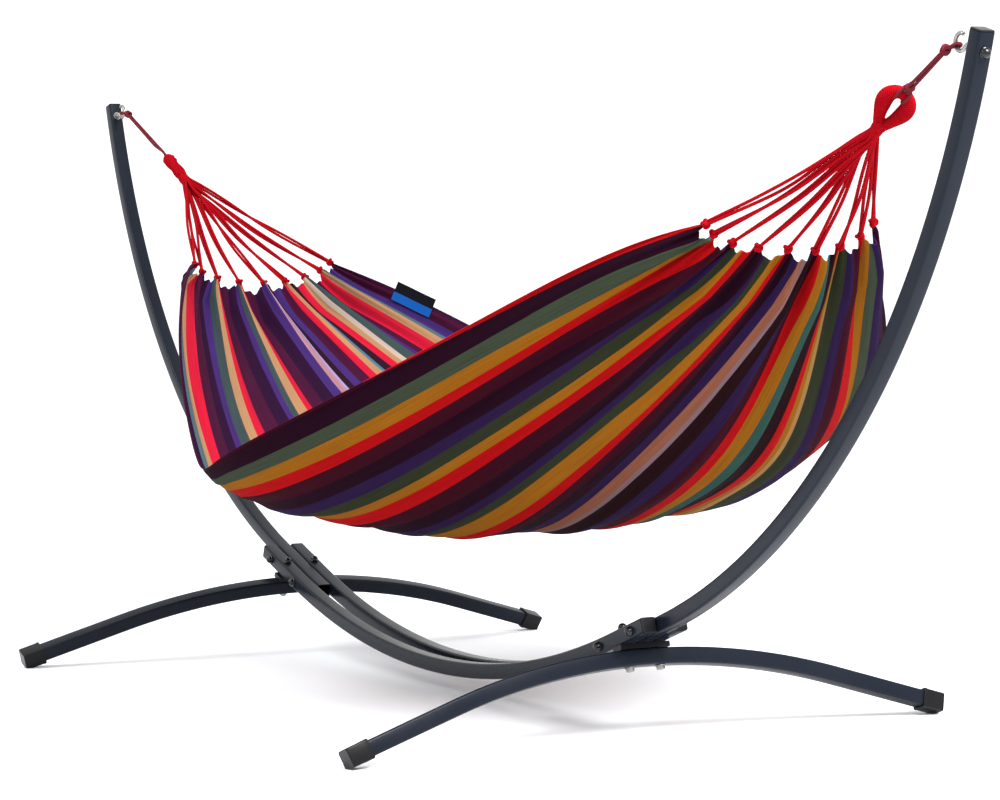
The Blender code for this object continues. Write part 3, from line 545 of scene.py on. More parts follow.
def plug_mesh(name, place):
    """An end plug: a thin plate with softened edges and a lip inside the tube."""
    inside = TUBE - 2 * WALL - 0.0012
    levels = [(-0.012, inside), (0.0002, inside), (0.0002, TUBE - 0.0022), (0.0006, TUBE - 0.0010),
              (0.0022, TUBE - 0.0010), (0.0029, TUBE - 0.0030), (0.0031, TUBE - 0.0060)]
    shape = bmesh.new()
    bridge(shape, [
        square_ring(shape, place, side, max(0.0012, CORNER_RADIUS - (TUBE - side) / 2), height)
        for height, side in levels
    ])
    return finish_mesh(name, shape, 30.0)


def post_stations():
    """The right post's path, from its lower end between the rails to its upper end."""
    back = POST_TAIL / RAIL_RADIUS
    angle = RAIL_ANGLE - back
    start = (RAIL_RADIUS * math.sin(angle), RAIL_LOW + RAIL_RADIUS * (1 - math.cos(angle)))
    return follow(start, angle, [
        (0.0, back, RAIL_RADIUS), (POST_STRAIGHT, 0.0, 0.0), (0.0, POST_TOP - RAIL_ANGLE, POST_RADIUS),
    ])


def make_posts():
    """Both posts and their end caps."""
    stations = post_stations()
    for side_name, side in SIDE.items():
        place = Matrix.Diagonal((side, side, 1.0, 1.0))
        name = f"{side_name}_post"
        mesh = tube_mesh(f"{name}_tube", stations, place)
        new_piece(mesh, POWDER_COAT, replaced=[name])
        cap = plug_mesh(f"{name}_cap_plug", place @ section_matrix(stations[-1]))
        new_piece(cap, BLACK_PLASTIC, replaced=[f"{name}_cap"])


make_rails()
make_posts()
print("rails and posts: 4 tubes, 6 plugs")

# %% [markdown]
# Each foot is an arch whose plane leans with the rail's sloping end, so its ends meet the floor on a corner.
# A rubber-like boot covers each end and is worn flat where it stands.

# %% Feet and boots
FOOT_POSITION = 0.034
FOOT_RADIUS = 1.203
FOOT_ANGLE = math.radians(17.9)
FOOT_STRAIGHT = 0.215
SADDLE_HEIGHT = 0.009
SEAT_GAP = 0.0003
BOOT_LENGTH = 0.042
BOOT_WALL = 0.0030
FLOOR_GAP = 0.0001
CROWN = ARC_END + FOOT_POSITION * ALONG - (TUBE + SADDLE_HEIGHT + 2 * SEAT_GAP) * ABOVE


def foot_matrix(side):
    """The foot's own axes: its path's x runs across the stand, its z along the rail's upward normal."""
    up = at_side(side, ABOVE)
    return frame_matrix(at_side(side, CROWN), ACROSS, up.cross(ACROSS), up)


def boot_mesh(name, place):
    """A moulded boot: rounded outside, open inside, with a raised lip and a flat worn by the floor."""
    outside = TUBE + 2 * BOOT_WALL
    inside = TUBE + 2 * SEAT_GAP
    mouth = BOOT_WALL - BOOT_LENGTH
    levels = [(SEAT_GAP, inside), (mouth, inside), (mouth, outside), (mouth + 0.0015, outside + 0.0006),
              (mouth + 0.0050, outside + 0.0006), (mouth + 0.0054, outside - 0.0004), (0.0, outside - 0.0004),
              (BOOT_WALL - 0.0012, outside - 0.0012), (BOOT_WALL - 0.0001, outside - 0.0040)]
    shape = bmesh.new()
    bridge(shape, [
        square_ring(shape, place, side, 0.0030 if side > TUBE + 0.001 else 0.0038, height)
        for height, side in levels
    ])
    geometry = shape.verts[:] + shape.edges[:] + shape.faces[:]
    cut = bmesh.ops.bisect_plane(
        shape, geom=geometry, plane_co=(0, 0, FLOOR_GAP), plane_no=(0, 0, -1), clear_outer=True
    )["geom_cut"]
    bmesh.ops.holes_fill(shape, edges=[item for item in cut if isinstance(item, bmesh.types.BMEdge)], sides=0)
    bmesh.ops.recalc_face_normals(shape, faces=shape.faces)
    return finish_mesh(name, shape, 28.0)


def make_feet():
    """Both arched feet and their four boots."""
    half = follow((0.0, 0.0), 0.0, [(0.0, -FOOT_ANGLE, FOOT_RADIUS), (FOOT_STRAIGHT, 0.0, 0.0)])
    end, heading = half[-1]
    stations = follow((-end.x, end.y), -heading, [
        (FOOT_STRAIGHT, 0.0, 0.0), (0.0, -2 * FOOT_ANGLE, FOOT_RADIUS), (FOOT_STRAIGHT, 0.0, 0.0),
    ])
    for side_name, side in SIDE.items():
        place = foot_matrix(side)
        name = f"{side_name}_foot"
        mesh = tube_mesh(f"{name}_tube", stations, place)
        new_piece(mesh, POWDER_COAT, replaced=[name])
        for row_name, row in (("front", -1), ("rear", 1)):
            station = (Vector((row * end.x, end.y)), heading if row > 0 else math.pi - heading)
            boot = boot_mesh(f"{name}_{row_name}_moulded_boot", place @ section_matrix(station))
            new_piece(boot, BLACK_PLASTIC, replaced=[f"{name}_{row_name}_boot"])


make_feet()
print("feet: 2 tubes, 4 boots")

# %% [markdown]
# Nuts and bolt heads are the same part over and over.  A small Geometry Nodes tree stands one copy of a
# source part on each vertex of a helper mesh, turned so that its Z axis follows the vertex's own direction.
# The copies are realised at once, so that the finished piece is a plain mesh.

# %% Copies on points
def make_copies_tree():
    """The tree that stands copies of a part on points."""
    tree = bpy.data.node_groups.new("stand_copies_on_points", "GeometryNodeTree")
    sockets = {"Points": "Geometry", "Part": "Object", "Part Size": "Float", "Finish": "Material"}
    for label, kind in sockets.items():
        tree.interface.new_socket(label, in_out="INPUT", socket_type=f"NodeSocket{kind}")
    tree.interface.new_socket("Copies", in_out="OUTPUT", socket_type="NodeSocketGeometry")
    given = tree.nodes.new("NodeGroupInput").outputs
    part = add_node(tree, "GeometryNodeObjectInfo", {"Object": given["Part"]})
    direction, roll = [
        add_node(tree, "GeometryNodeInputNamedAttribute", {"Name": label}, data_type="FLOAT_VECTOR")
        for label in ("direction", "roll")
    ]
    align = "FunctionNodeAlignRotationToVector"
    aim = add_node(tree, align, {"Vector": direction.outputs["Attribute"]}, axis="Z")
    inputs = {"Rotation": aim.outputs["Rotation"], "Vector": roll.outputs["Attribute"]}
    spin = add_node(tree, align, inputs, axis="X", pivot_axis="Z")
    copies = add_node(tree, "GeometryNodeInstanceOnPoints", {
        "Points": given["Points"], "Instance": part.outputs["Geometry"], "Rotation": spin.outputs["Rotation"],
        "Scale": given["Part Size"],
    })
    real = add_node(tree, "GeometryNodeRealizeInstances", {"Geometry": copies.outputs["Instances"]})
    finish = add_node(tree, "GeometryNodeSetMaterial",
                      {"Geometry": real.outputs["Geometry"], "Material": given["Finish"]})
    add_node(tree, "NodeGroupOutput", {"Copies": finish.outputs["Geometry"]})
    return tree


COPIES_TREE = make_copies_tree()


def copies_on_points(name, part_mesh, places, finish, size=1.0):
    """One plain mesh with a copy of a part at each (point, direction, roll)."""
    points = bpy.data.meshes.new(f"{name}_points")
    points.from_pydata([tuple(point) for point, _, _ in places], [], [])
    for label, column in (("direction", 1), ("roll", 2)):
        attribute = points.attributes.new(label, "FLOAT_VECTOR", "POINT")
        for item, place in zip(attribute.data, places):
            item.vector = place[column]
    part = add_object(f"{name}_part", part_mesh)
    holder = add_object(f"{name}_holder", points)
    modifier = holder.modifiers.new("copies", "NODES")
    modifier.node_group = COPIES_TREE
    values = {"Part": part, "Part Size": size, "Finish": finish}
    for item in COPIES_TREE.interface.items_tree:
        if item.in_out == "INPUT" and item.name in values:
            modifier[item.identifier] = values[item.name]
    bpy.context.view_layer.update()
    evaluated = holder.evaluated_get(bpy.context.evaluated_depsgraph_get())
    mesh = bpy.data.meshes.new_from_object(evaluated)
    mesh.name = name
    for label in ("direction", "roll"):
        if label in mesh.attributes:
            mesh.attributes.remove(mesh.attributes[label])
    for helper in (holder, part):
        bpy.data.objects.remove(helper, do_unlink=True)
    if not mesh.materials:
        mesh.materials.append(finish)
    return mesh


def lathe_mesh(name, profile):
    """A round part about Z from (radius, height) points."""
    shape = bmesh.new()
    verts = [shape.verts.new((radius, 0.0, height)) for radius, height in profile]
    edges = [shape.edges.new(pair) for pair in zip(verts, verts[1:])]
    bmesh.ops.spin(shape, geom=verts + edges, cent=(0, 0, 0), axis=UP, angle=math.tau, steps=28)
    bmesh.ops.remove_doubles(shape, verts=shape.verts, dist=1e-6)
    bmesh.ops.recalc_face_normals(shape, faces=shape.faces)
    return finish_mesh(name, shape, 32.0)


print("copies tree:", COPIES_TREE.name)

# %% [markdown]
# Every joint of the stand is bolted through.  The heads are flanged hexagons of zinc-plated steel, and each
# far end is closed by a black domed nut, so that no thread can catch on cloth.

# %% Bolts and domed nuts
FLANGE_RADIUS = 0.0088
FLANGE_THICKNESS = 0.0016
HEX_HALF = 0.0065
HEX_HEIGHT = 0.0052
DOME_RADIUS = 0.0078
DOME_HEIGHT = 0.0100
DOME_FOOT = 0.0024
SHANK_RADIUS = 0.0039
FOOT_FALL = 0.0009
CROSS_BOLTS = (-0.031, 0.080)


def dome_mesh():
    """A domed nut that stands on Z = 0: a flange, a small step and the dome, hollow below."""
    dome = DOME_HEIGHT - DOME_FOOT
    turns = [math.radians(9.0 * step) for step in range(10)]
    arc = [(DOME_RADIUS * math.cos(turn), DOME_FOOT + dome * math.sin(turn)) for turn in turns]
    return lathe_mesh("domed_nut_part", [
        (0.0, 0.0064), (0.0043, 0.0064), (0.0043, 0.0), (FLANGE_RADIUS - 0.0002, 0.0), (FLANGE_RADIUS, 0.0002),
        (FLANGE_RADIUS, 0.0012), (FLANGE_RADIUS - 0.0004, 0.0016), *arc, (0.0, DOME_HEIGHT),
    ])


def hex_head_mesh(length):
    """A flanged hexagon head under Z = 0, with its shank up to a length."""
    low = -FLANGE_THICKNESS - HEX_HEIGHT
    corner = HEX_HALF * 1.1
    levels = [(HEX_HALF * 0.94, low, True), (corner, low + 0.0006, True), (corner, -FLANGE_THICKNESS, True),
              (FLANGE_RADIUS, 0.0003 - FLANGE_THICKNESS, False), (FLANGE_RADIUS, 0.0, False),
              (SHANK_RADIUS, 0.0, False), (SHANK_RADIUS, length, False)]
    shape = bmesh.new()
    rings = []
    for radius, height, is_hexagon in levels:
        rings.append([])
        for step in range(24):
            angle = math.tau * step / 24
            flat = HEX_HALF / math.cos((angle + math.pi / 6) % (math.pi / 3) - math.pi / 6)
            reach = min(radius, flat) if is_hexagon else radius
            rings[-1].append(shape.verts.new((reach * math.cos(angle), reach * math.sin(angle), height)))
    bridge(shape, rings)
    return finish_mesh("hex_head_part", shape, 25.0)


def make_fasteners():
    """The bolts and the domed nuts of both joints."""
    cross_span = 2 * RAIL_Y + TUBE
    foot_span = 2 * TUBE + SADDLE_HEIGHT + 2 * SEAT_GAP + FOOT_FALL
    cross_seats, foot_seats = [], []
    for side in SIDE.values():
        up = at_side(side, ABOVE)
        for distance in CROSS_BOLTS:
            cross_seats.append((on_rail(side, distance, cross_span / 2), -ACROSS, up, cross_span))
        for row in (-1, 1):
            seat = on_rail(side, FOOT_POSITION, row * RAIL_Y, TUBE / 2 - foot_span)
            foot_seats.append((seat, up, -ACROSS, foot_span))
    nut_names = []
    kinds_of = {"cross": (cross_seats, ("lower", "upper")), "foot": (foot_seats, ("front", "rear"))}
    for label, (seats, kinds) in kinds_of.items():
        names = [f"{side_name}_{kind}_{label}_bolt" for side_name in SIDE for kind in kinds]
        head_places = [(seat - SEAT_GAP * axis, axis, roll) for seat, axis, roll, _ in seats]
        mesh = copies_on_points(f"{label}_bolts", hex_head_mesh(seats[0][3] + 0.005), head_places, ZINC)
        new_piece(mesh, ZINC, replaced=names)
        nut_names += [f"{name}_nut" for name in names]
    nut_places = [(seat + (span + SEAT_GAP) * axis, axis, roll)
                  for seat, axis, roll, span in cross_seats + foot_seats]
    mesh = copies_on_points("domed_nuts", dome_mesh(), nut_places, GLOSSY_BLACK)
    new_piece(mesh, GLOSSY_BLACK, replaced=nut_names)
    print("fasteners:", len(nut_places), "bolts and as many domed nuts")


make_fasteners()

# %% [markdown]
# Cords, rope and hook wire are all round bars along a path.  One helper walks a path with a frame that
# doesn't twist, gives each ring its own radius, closes both ends with a dome, and maps metres along the cord
# and turns round it, which the yarn pattern reads.

# %% Round bars along a path
END_DOME = [(0.35, 0.30), (0.75, 0.72), (0.95, 0.95)]


def even_path(points, spacing):
    """The same path with evenly spaced points."""
    lengths = [0.0]
    for before, after in zip(points, points[1:]):
        lengths.append(lengths[-1] + (after - before).length)
    count = max(2, round(lengths[-1] / spacing))
    found = []
    index = 0
    for step in range(count + 1):
        wanted = lengths[-1] * step / count
        while index < len(points) - 2 and lengths[index + 1] < wanted:
            index += 1
        share = (wanted - lengths[index]) / max(1e-9, lengths[index + 1] - lengths[index])
        found.append(points[index].lerp(points[index + 1], min(1.0, max(0.0, share))))
    return found


def smooth_path(controls, spacing):
    """Evenly spaced points on a smooth curve through given ones."""
    spans = [after - before for before, after in zip(controls, controls[1:])]
    slopes = [spans[0].normalized()]
    for before, after in zip(spans, spans[1:]):
        blend = before.normalized() * after.length + after.normalized() * before.length
        slopes.append(blend / (before.length + after.length))
    slopes.append(spans[-1].normalized())
    fine = []
    for start, span, leave, arrive in zip(controls, spans, slopes, slopes[1:]):
        first = leave * span.length
        last = arrive * span.length
        for step in range(16):
            t = step / 16
            fine.append(start + first * t + (3 * span - 2 * first - last) * t ** 2
                        + (first + last - 2 * span) * t ** 3)
    fine.append(controls[-1].copy())
    return even_path(fine, spacing)


def path_frames(points):
    """A tangent and two side directions at every point, carried along without twist."""
    frames = []
    side = None
    for index, point in enumerate(points):
        tangent = (points[min(index + 1, len(points) - 1)] - points[max(index - 1, 0)]).normalized()
        if side is None:
            side = tangent.orthogonal().normalized()
        side = (side - tangent * side.dot(tangent)).normalized()
        frames.append((point, tangent, side, tangent.cross(side)))
    return frames


def bar_mesh(name, runs, sides):
    """Round bars along paths: each run is its points, and its radius at a distance and an angle."""
    shape = bmesh.new()
    layer = shape.loops.layers.uv.new("along_and_round")
    for points, radius_at in runs:
        frames = path_frames(points)
        distances = [0.0]
        for before, after in zip(frames, frames[1:]):
            distances.append(distances[-1] + (after[0] - before[0]).length)
        stations = [(along, point, side, other, 1.0)
                    for along, (point, _, side, other) in zip(distances, frames)]
        for end, sign in ((0, -1), (-1, 1)):
            point, tangent, side, other = frames[end]
            bulge = 0.6 * sign * radius_at(distances[end], 0.0)
            cap = [(distances[end], point + tangent * bulge * (1 - back), side, other, size)
                   for size, back in END_DOME]
            stations = cap + stations if end == 0 else stations + cap[::-1]
        bars = []
        for along, point, side, other, size in stations:
            bars.append((along, []))
            for step in range(sides):
                angle = math.tau * step / sides
                reach = radius_at(along, angle) * size
                bars[-1][1].append(shape.verts.new(point + reach * turned(angle, side, other)))
        for (start, before), (end, after) in zip(bars, bars[1:]):
            for step in range(sides):
                turn = (step + 1) % sides
                face = shape.faces.new((before[step], before[turn], after[turn], after[step]))
                corners = ((start, step), (start, step + 1), (end, step + 1), (end, step))
                for loop, (along, around) in zip(face.loops, corners):
                    loop[layer].uv = (along, around / sides)
        shape.faces.new(bars[0][1][::-1])
        shape.faces.new(bars[-1][1])
    return finish_mesh(name, shape, 60.0)


print("path helpers ready")

# %% [markdown]
# A ring hook is a bolt whose end is bent into an almost closed circle.  Its shank passes through the post,
# with a flanged nut inside and a domed nut outside.

# %% Hooks
HOOK_WIRE = 0.0035
HOOK_RING = 0.013
HOOK_REACH = 0.031
HOOK_MOUTH = math.radians(78.0)
HOOK_BEND = math.radians(212.0)
HOOK_NUT_HALF = 0.0032
THREAD_PITCH = 0.00125
THREAD_LENGTH = 0.052
POST_FACET = math.radians(54.5) / 17


def hook_frame(side_name):
    """The hook bolt's centre in the post, its inward axis and the post's upward axis."""
    low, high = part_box(f"{side_name}_hook_nut")
    angle = POST_TOP - POST_FACET / 2
    inward = at_side(SIDE[side_name], turned(angle, UP, -ALONG_STAND))
    up = at_side(SIDE[side_name], turned(angle, ALONG_STAND, UP))
    return (Vector(low) + Vector(high)) / 2 - (TUBE / 2 + SEAT_GAP + HOOK_NUT_HALF) * inward, inward, up


def hook_wire(along, angle):
    """The wire's radius, with its thread."""
    thread = 0.00022 * math.sin(math.tau * along / THREAD_PITCH) if along < THREAD_LENGTH else 0.0
    return HOOK_WIRE + thread - 0.0001


def make_hook(side_name):
    """One hook with its domed nut."""
    centre, inward, up = hook_frame(side_name)
    ring = centre + (TUBE / 2 + HOOK_REACH) * inward
    points = [centre - (TUBE / 2 + 0.006) * inward, centre, centre + (TUBE / 2 + 0.006) * inward,
              ring - (HOOK_RING + HOOK_WIRE * 0.7) * inward]
    for step in range(31):
        angle = HOOK_BEND + (3 * math.pi - HOOK_MOUTH - HOOK_BEND) * step / 30
        points.append(ring + HOOK_RING * turned(angle, inward, up))
    bend = even_path(smooth_path(points, 0.0015), 0.0004)
    mesh = bar_mesh(f"{side_name}_ring_hook", [(bend, hook_wire)], 16)
    new_piece(mesh, ZINC, replaced=[f"{side_name}_hook"])
    places = [(centre - (TUBE / 2 + SEAT_GAP) * inward, -inward, up)]
    cap = copies_on_points(f"{side_name}_hook_domed_nut", dome_mesh(), places, GLOSSY_BLACK)
    new_piece(cap, GLOSSY_BLACK, replaced=[f"{side_name}_hook_dome_nut"])
    return ring


RINGS = {side_name: make_hook(side_name) for side_name in SIDE}
for node, finish in (("left_hook_nut", ZINC), ("right_hook_nut", ZINC), ("left_foot_saddle", BLACK_PLASTIC),
                     ("right_foot_saddle", BLACK_PLASTIC)):
    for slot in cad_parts[node].material_slots:
        slot.material = finish
print("hooks at", [tuple(round(value, 4) for value in ring) for ring in RINGS.values()])

# %% [markdown]
# The hammock hangs from two seats, where its ropes lie in the hooks.  On each side the rope pulls along one
# line and the woven neck falls along another, and the eye between them is turned half-way to its side.

# %% Where the hammock hangs
SEAT = {"left": Vector((-1.5703, 0.0, 1.1149)), "right": Vector((1.5707, 0.0, 1.1140))}
PULL = {"left": Vector((0.9174, 0.0, -0.3979)), "right": Vector((-0.8868, 0.0, -0.4622))}
FALL = {"left": Vector((0.8799, 0.0, -0.4752)), "right": Vector((-0.8039, 0.0, -0.5947))}
EYE = {"left": Vector((-1.287, 0.0, 0.992)), "right": Vector((1.421, 0.0, 1.036))}
EYE_RADIUS = 0.0205
EYE_STRETCH = 1.18
EYE_TWIST = math.radians(-45.0)
NECK_LENGTH = 0.040
ROPE_RADIUS = 0.0024
STRAND_OFFSET = 0.0028


def twisted_axes(name, along):
    """The two directions square to a line, turned by the eye's twist."""
    up = ACROSS.cross(along) * SIDE[name]
    return turned(EYE_TWIST, ACROSS, up), turned(EYE_TWIST, up, -ACROSS)


def at_hook(name, along, y, above=0.0):
    """A point near the hook: a distance down the rope, beside it and above it."""
    return SEAT[name] + along * PULL[name] + y * ACROSS + above * ACROSS.cross(PULL[name]) * SIDE[name]


def at_eye(name, along, y, above=0.0):
    """A point near the top of the eye, in the rope's own directions."""
    top = EYE[name] - EYE_STRETCH * EYE_RADIUS * FALL[name]
    across, lift = twisted_axes(name, PULL[name])
    return top + along * PULL[name] + y * across + above * lift


def on_neck(name, along, y=0.0, above=0.0):
    """A point near the neck: a distance down it from the eye's middle, in the eye's own directions."""
    across, lift = twisted_axes(name, FALL[name])
    return EYE[name] + along * FALL[name] + y * across + above * lift


# %% [markdown]
# A doubled rope loops over each hook, is knotted just below it, and is hitched round the top of the eye.

# %% Hanger ropes
HOOK_LOOP = 0.0075
HITCH = 0.0112
KNOT_PLACE = 0.024
KNOT_RISE = 0.008
ROPE_STEP = 0.0008


def braid(along, angle):
    """The relief of a small braided rope."""
    first = abs(math.sin(500.0 * along + 2 * angle))
    second = abs(math.sin(500.0 * along - 2 * angle))
    return ROPE_RADIUS - 0.0002 + 0.0004 * max(first, second)


def coil(centre, axis, start_side, radius, pitch, turns):
    """Rope on a helix about a line."""
    other = axis.cross(start_side)
    points = []
    steps = max(6, round(turns * 14))
    for step in range(steps + 1):
        angle = math.tau * turns * step / steps
        shift = pitch * turns * (step / steps - 0.5)
        points.append(centre + radius * turned(angle, start_side, other) + shift * axis)
    return smooth_path(points, ROPE_STEP), braid


def hook_loop(name):
    """The part of the rope over the hook, from the knot and back to it."""
    half_turns = [math.radians(22.5 * step) for step in range(-4, 5)]
    return [
        at_hook(name, KNOT_PLACE, STRAND_OFFSET, KNOT_RISE), at_hook(name, 0.013, 0.0042, 0.006),
        *[at_hook(name, -HOOK_LOOP * math.cos(turn), -HOOK_LOOP * math.sin(turn)) for turn in half_turns],
        at_hook(name, 0.013, -0.0042, 0.006), at_hook(name, KNOT_PLACE, -STRAND_OFFSET, KNOT_RISE),
    ]


def strand(name, side, up):
    """One strand, from inside the knot, round the other as the eye turns, and over the eye's top."""
    route = [at_hook(name, KNOT_PLACE - 0.006, side * STRAND_OFFSET, KNOT_RISE)]
    for share in (0.25, 0.5, 0.75):
        middle = at_hook(name, KNOT_PLACE, 0.0, KNOT_RISE).lerp(at_eye(name, -HITCH - 0.022, 0.0), share)
        turn = share * EYE_TWIST * SIDE[name]
        route.append(middle + side * (STRAND_OFFSET - 0.0004) * turned(turn, ACROSS, up))
    route.append(at_eye(name, -HITCH - 0.020, side * 0.0026, 0.001))
    for step in range(13):
        angle = math.radians(-20.0 + 27.5 * step)
        place_across = side * (0.0030 + 0.00042 * step)
        route.append(at_eye(name, -HITCH * math.cos(angle), place_across, HITCH * math.sin(angle)))
    route.append(at_eye(name, -HITCH - 0.0035, side * 0.0050, -0.0030))
    route.append(at_eye(name, -HITCH - 0.0040, 0.0, -0.0050))
    return route


def make_hanger_rope(name):
    """One doubled rope with its knot and its hitch."""
    up = ACROSS.cross(PULL[name]) * SIDE[name]
    routes = [hook_loop(name), strand(name, -1, up), strand(name, 1, up)]
    lean = (PULL[name] + 0.30 * ACROSS).normalized()
    cross = (0.55 * PULL[name] + 0.75 * up + 0.25 * ACROSS).normalized()
    runs = [(smooth_path(route, ROPE_STEP), braid) for route in routes]
    runs += [
        coil(at_hook(name, KNOT_PLACE, 0.0, KNOT_RISE), lean, lean.orthogonal().normalized(),
             0.0056, 0.0044, 2.1),
        coil(at_hook(name, KNOT_PLACE + 0.002, 0.0, KNOT_RISE), cross, cross.orthogonal().normalized(),
             0.0058, 0.0010, 0.92),
        coil(at_eye(name, -HITCH - 0.0080, 0.0), PULL[name], up, 0.0054, 0.0046, 1.3),
    ]
    mesh = bar_mesh(f"{name}_braided_rope", runs, 12)
    new_piece(mesh, ROPE_BRAID, "hammock", [f"{name}_hanger_rope"])
    reach = (at_eye(name, 0.0, 0.0) - at_hook(name, 0.0, 0.0)).length
    print(name, "rope: hook to eye", round(reach, 3), "m")


for end_name in SIDE:
    make_hanger_rope(end_name)

# %% [markdown]
# The eye is the end of the string bundle, bent back on itself and served: a thin cord is wound tightly round
# it from the neck to the neck again.  Below it the bundle is woven into a short neck.

# %% Eyes
SERVING_PITCH = 0.0025
EYE_HALF_WIDTH = 0.0182
EYE_STEP = 0.0004
NECK_WEAVE = 0.040 / 2.2


def make_eye(name, neck_length):
    """One served eye, a long drop, with the crossed cords of its neck."""
    tail = EYE_STRETCH * EYE_RADIUS + 0.023
    points = []
    for step in range(33):
        angle = math.radians(-96.0 + 6.0 * step)
        along = -EYE_STRETCH * EYE_RADIUS * math.cos(angle)
        points.append(on_neck(name, along, EYE_HALF_WIDTH * math.sin(angle)))
    for side in (-1, 1):
        leg = [on_neck(name, tail * share, side * (EYE_HALF_WIDTH * (1 - share ** 1.5) + 0.0050 * share ** 1.5))
               for share in (0.30, 0.50, 0.75, 1.0)]
        points = leg[::-1] + points if side < 0 else points + leg
    path = smooth_path(points, EYE_STEP)
    length = EYE_STEP * (len(path) - 1)

    def served(along, angle):
        share = abs(2 * along / length - 1)
        swell = 0.0084 + 0.0040 * math.sin(math.pi * min(1.0, share * 1.15)) ** 2 - 0.0012 * share ** 4
        ridge = abs(math.sin(math.pi * along / SERVING_PITCH + 0.5 * angle))
        return swell + 0.0010 * ridge ** 0.7 + 0.0003 * math.sin(95.0 * along)

    def woven(along, angle):
        share = along / neck_length
        wave = math.pi * along / NECK_WEAVE
        crossed = max(abs(math.sin(wave + 2.5 * angle)), abs(math.sin(wave - 2.5 * angle)))
        return 0.0070 + 0.0014 * math.sin(math.pi * share) + 0.0038 * crossed ** 1.4 - 0.0010 * share

    neck = smooth_path([on_neck(name, tail - 0.006 + neck_length * step / 12) for step in range(13)], ROPE_STEP)
    mesh = bar_mesh(f"{name}_served_eye", [(path, served), (neck, woven)], 22)
    new_piece(mesh, RED_COTTON, "hammock", [f"{name}_eye"])


make_eye("left", 0.046)
make_eye("right", 0.026)
print("eyes: 2")

# %% [markdown]
# The bed is one surface with two curls.  Seen from the end it is a shallow bowl whose near half stands higher
# than its far half; seen from the side it hangs from its two ends, steeper towards the right.  The share of
# the way from the lowest point to an end sets how far each section has closed up.

# %% The bed's own shape
BED_END = {"left": Vector((-0.826, 0.0, 0.743)), "right": Vector((1.129, 0.0, 0.820))}
BED_LENGTH = BED_END["right"].x - BED_END["left"].x
BED_POWER = {"left": 1.20, "right": 1.45}
BED_LOW = 0.290
BED_ROUNDING = 0.12
END_HALF_WIDTH = 0.154
END_RISE = 0.043
BED_HALVES = {"near": (0.575, 0.213, math.radians(87.3)), "far": (0.577, 0.110, math.radians(74.4))}
DROOP_DEPTH = 0.055
DROOP_MIDDLE = -0.22
DROOP_REACH = 0.25
LAST_STRING = 0.97
SPANS = 8


def near_to(value, middle, reach):
    """1 at the middle, falling smoothly to nothing beyond the reach."""
    return math.exp(-(((value - middle) / reach) ** 2))


def bed_point(u, v):
    """A point of the smooth bed: u from -1 at the left end to +1, v from -1 at the near rim to +1."""
    share = (math.hypot(u, BED_ROUNDING) - BED_ROUNDING) / (math.hypot(1.0, BED_ROUNDING) - BED_ROUNDING)
    share = min(share, 1.0)
    end = "left" if u < 0 else "right"
    width, rise, curl = BED_HALVES["near" if v < 0 else "far"]
    half_width = END_HALF_WIDTH + (width - END_HALF_WIDTH) * (1 - share ** 1.15)
    height = END_RISE + (rise - END_RISE) * (1 - share ** 3.5)
    if v < 0:
        height -= DROOP_DEPTH * near_to(u, DROOP_MIDDLE, DROOP_REACH)
    x = BED_END["left"].x + BED_LENGTH * (u + 1) / 2
    y = half_width * math.sin(curl * v) / math.sin(curl)
    sag = (BED_END[end].z - BED_LOW) * share ** BED_POWER[end]
    return Vector((x, y, BED_LOW + sag + height * (1 - math.cos(curl * v)) / (1 - math.cos(curl))))


def hung_point(u, v):
    """The bed as this cloth really hangs: tucked in at the left rim, fuller at the far right."""
    point = bed_point(u, v)
    left_rim = near_to(u, -0.18, 0.277)
    left_floor = near_to(u, -0.232, 0.331)
    right = near_to(u, 0.62, 0.26)
    if v < 0:
        point.y *= 1 - 0.083 * left_rim
        point.z -= 0.034 * left_rim * v * v
        point.y -= 0.017 * right * v
    else:
        point.y += 0.080 * right * v
        point.z -= 0.240 * right * v * (1 - v)
    point.z += 0.038 * left_floor * (1 - v * v)
    return point


def string_end(name, number):
    """Where a string meets the cloth."""
    return hung_point(float(SIDE[name]), LAST_STRING * (2 * (number - 1) / SPANS - 1))


print("bed length", round(BED_LENGTH, 3), "m")

# %% [markdown]
# Nine strings fan out from each neck to the cloth.  Each is a pair of cords laid round each other, loosely
# enough that the pair opens here and there.  A small knot holds each one at the hem.

# %% Strings and knots
CORD_RADIUS = 0.0028
CORD_STEP = 0.0024
STRING_LEAVE = {"left": 0.075, "right": 0.030}
STRING_PITCH = 0.0078
KNOT_SIZE = 1.15


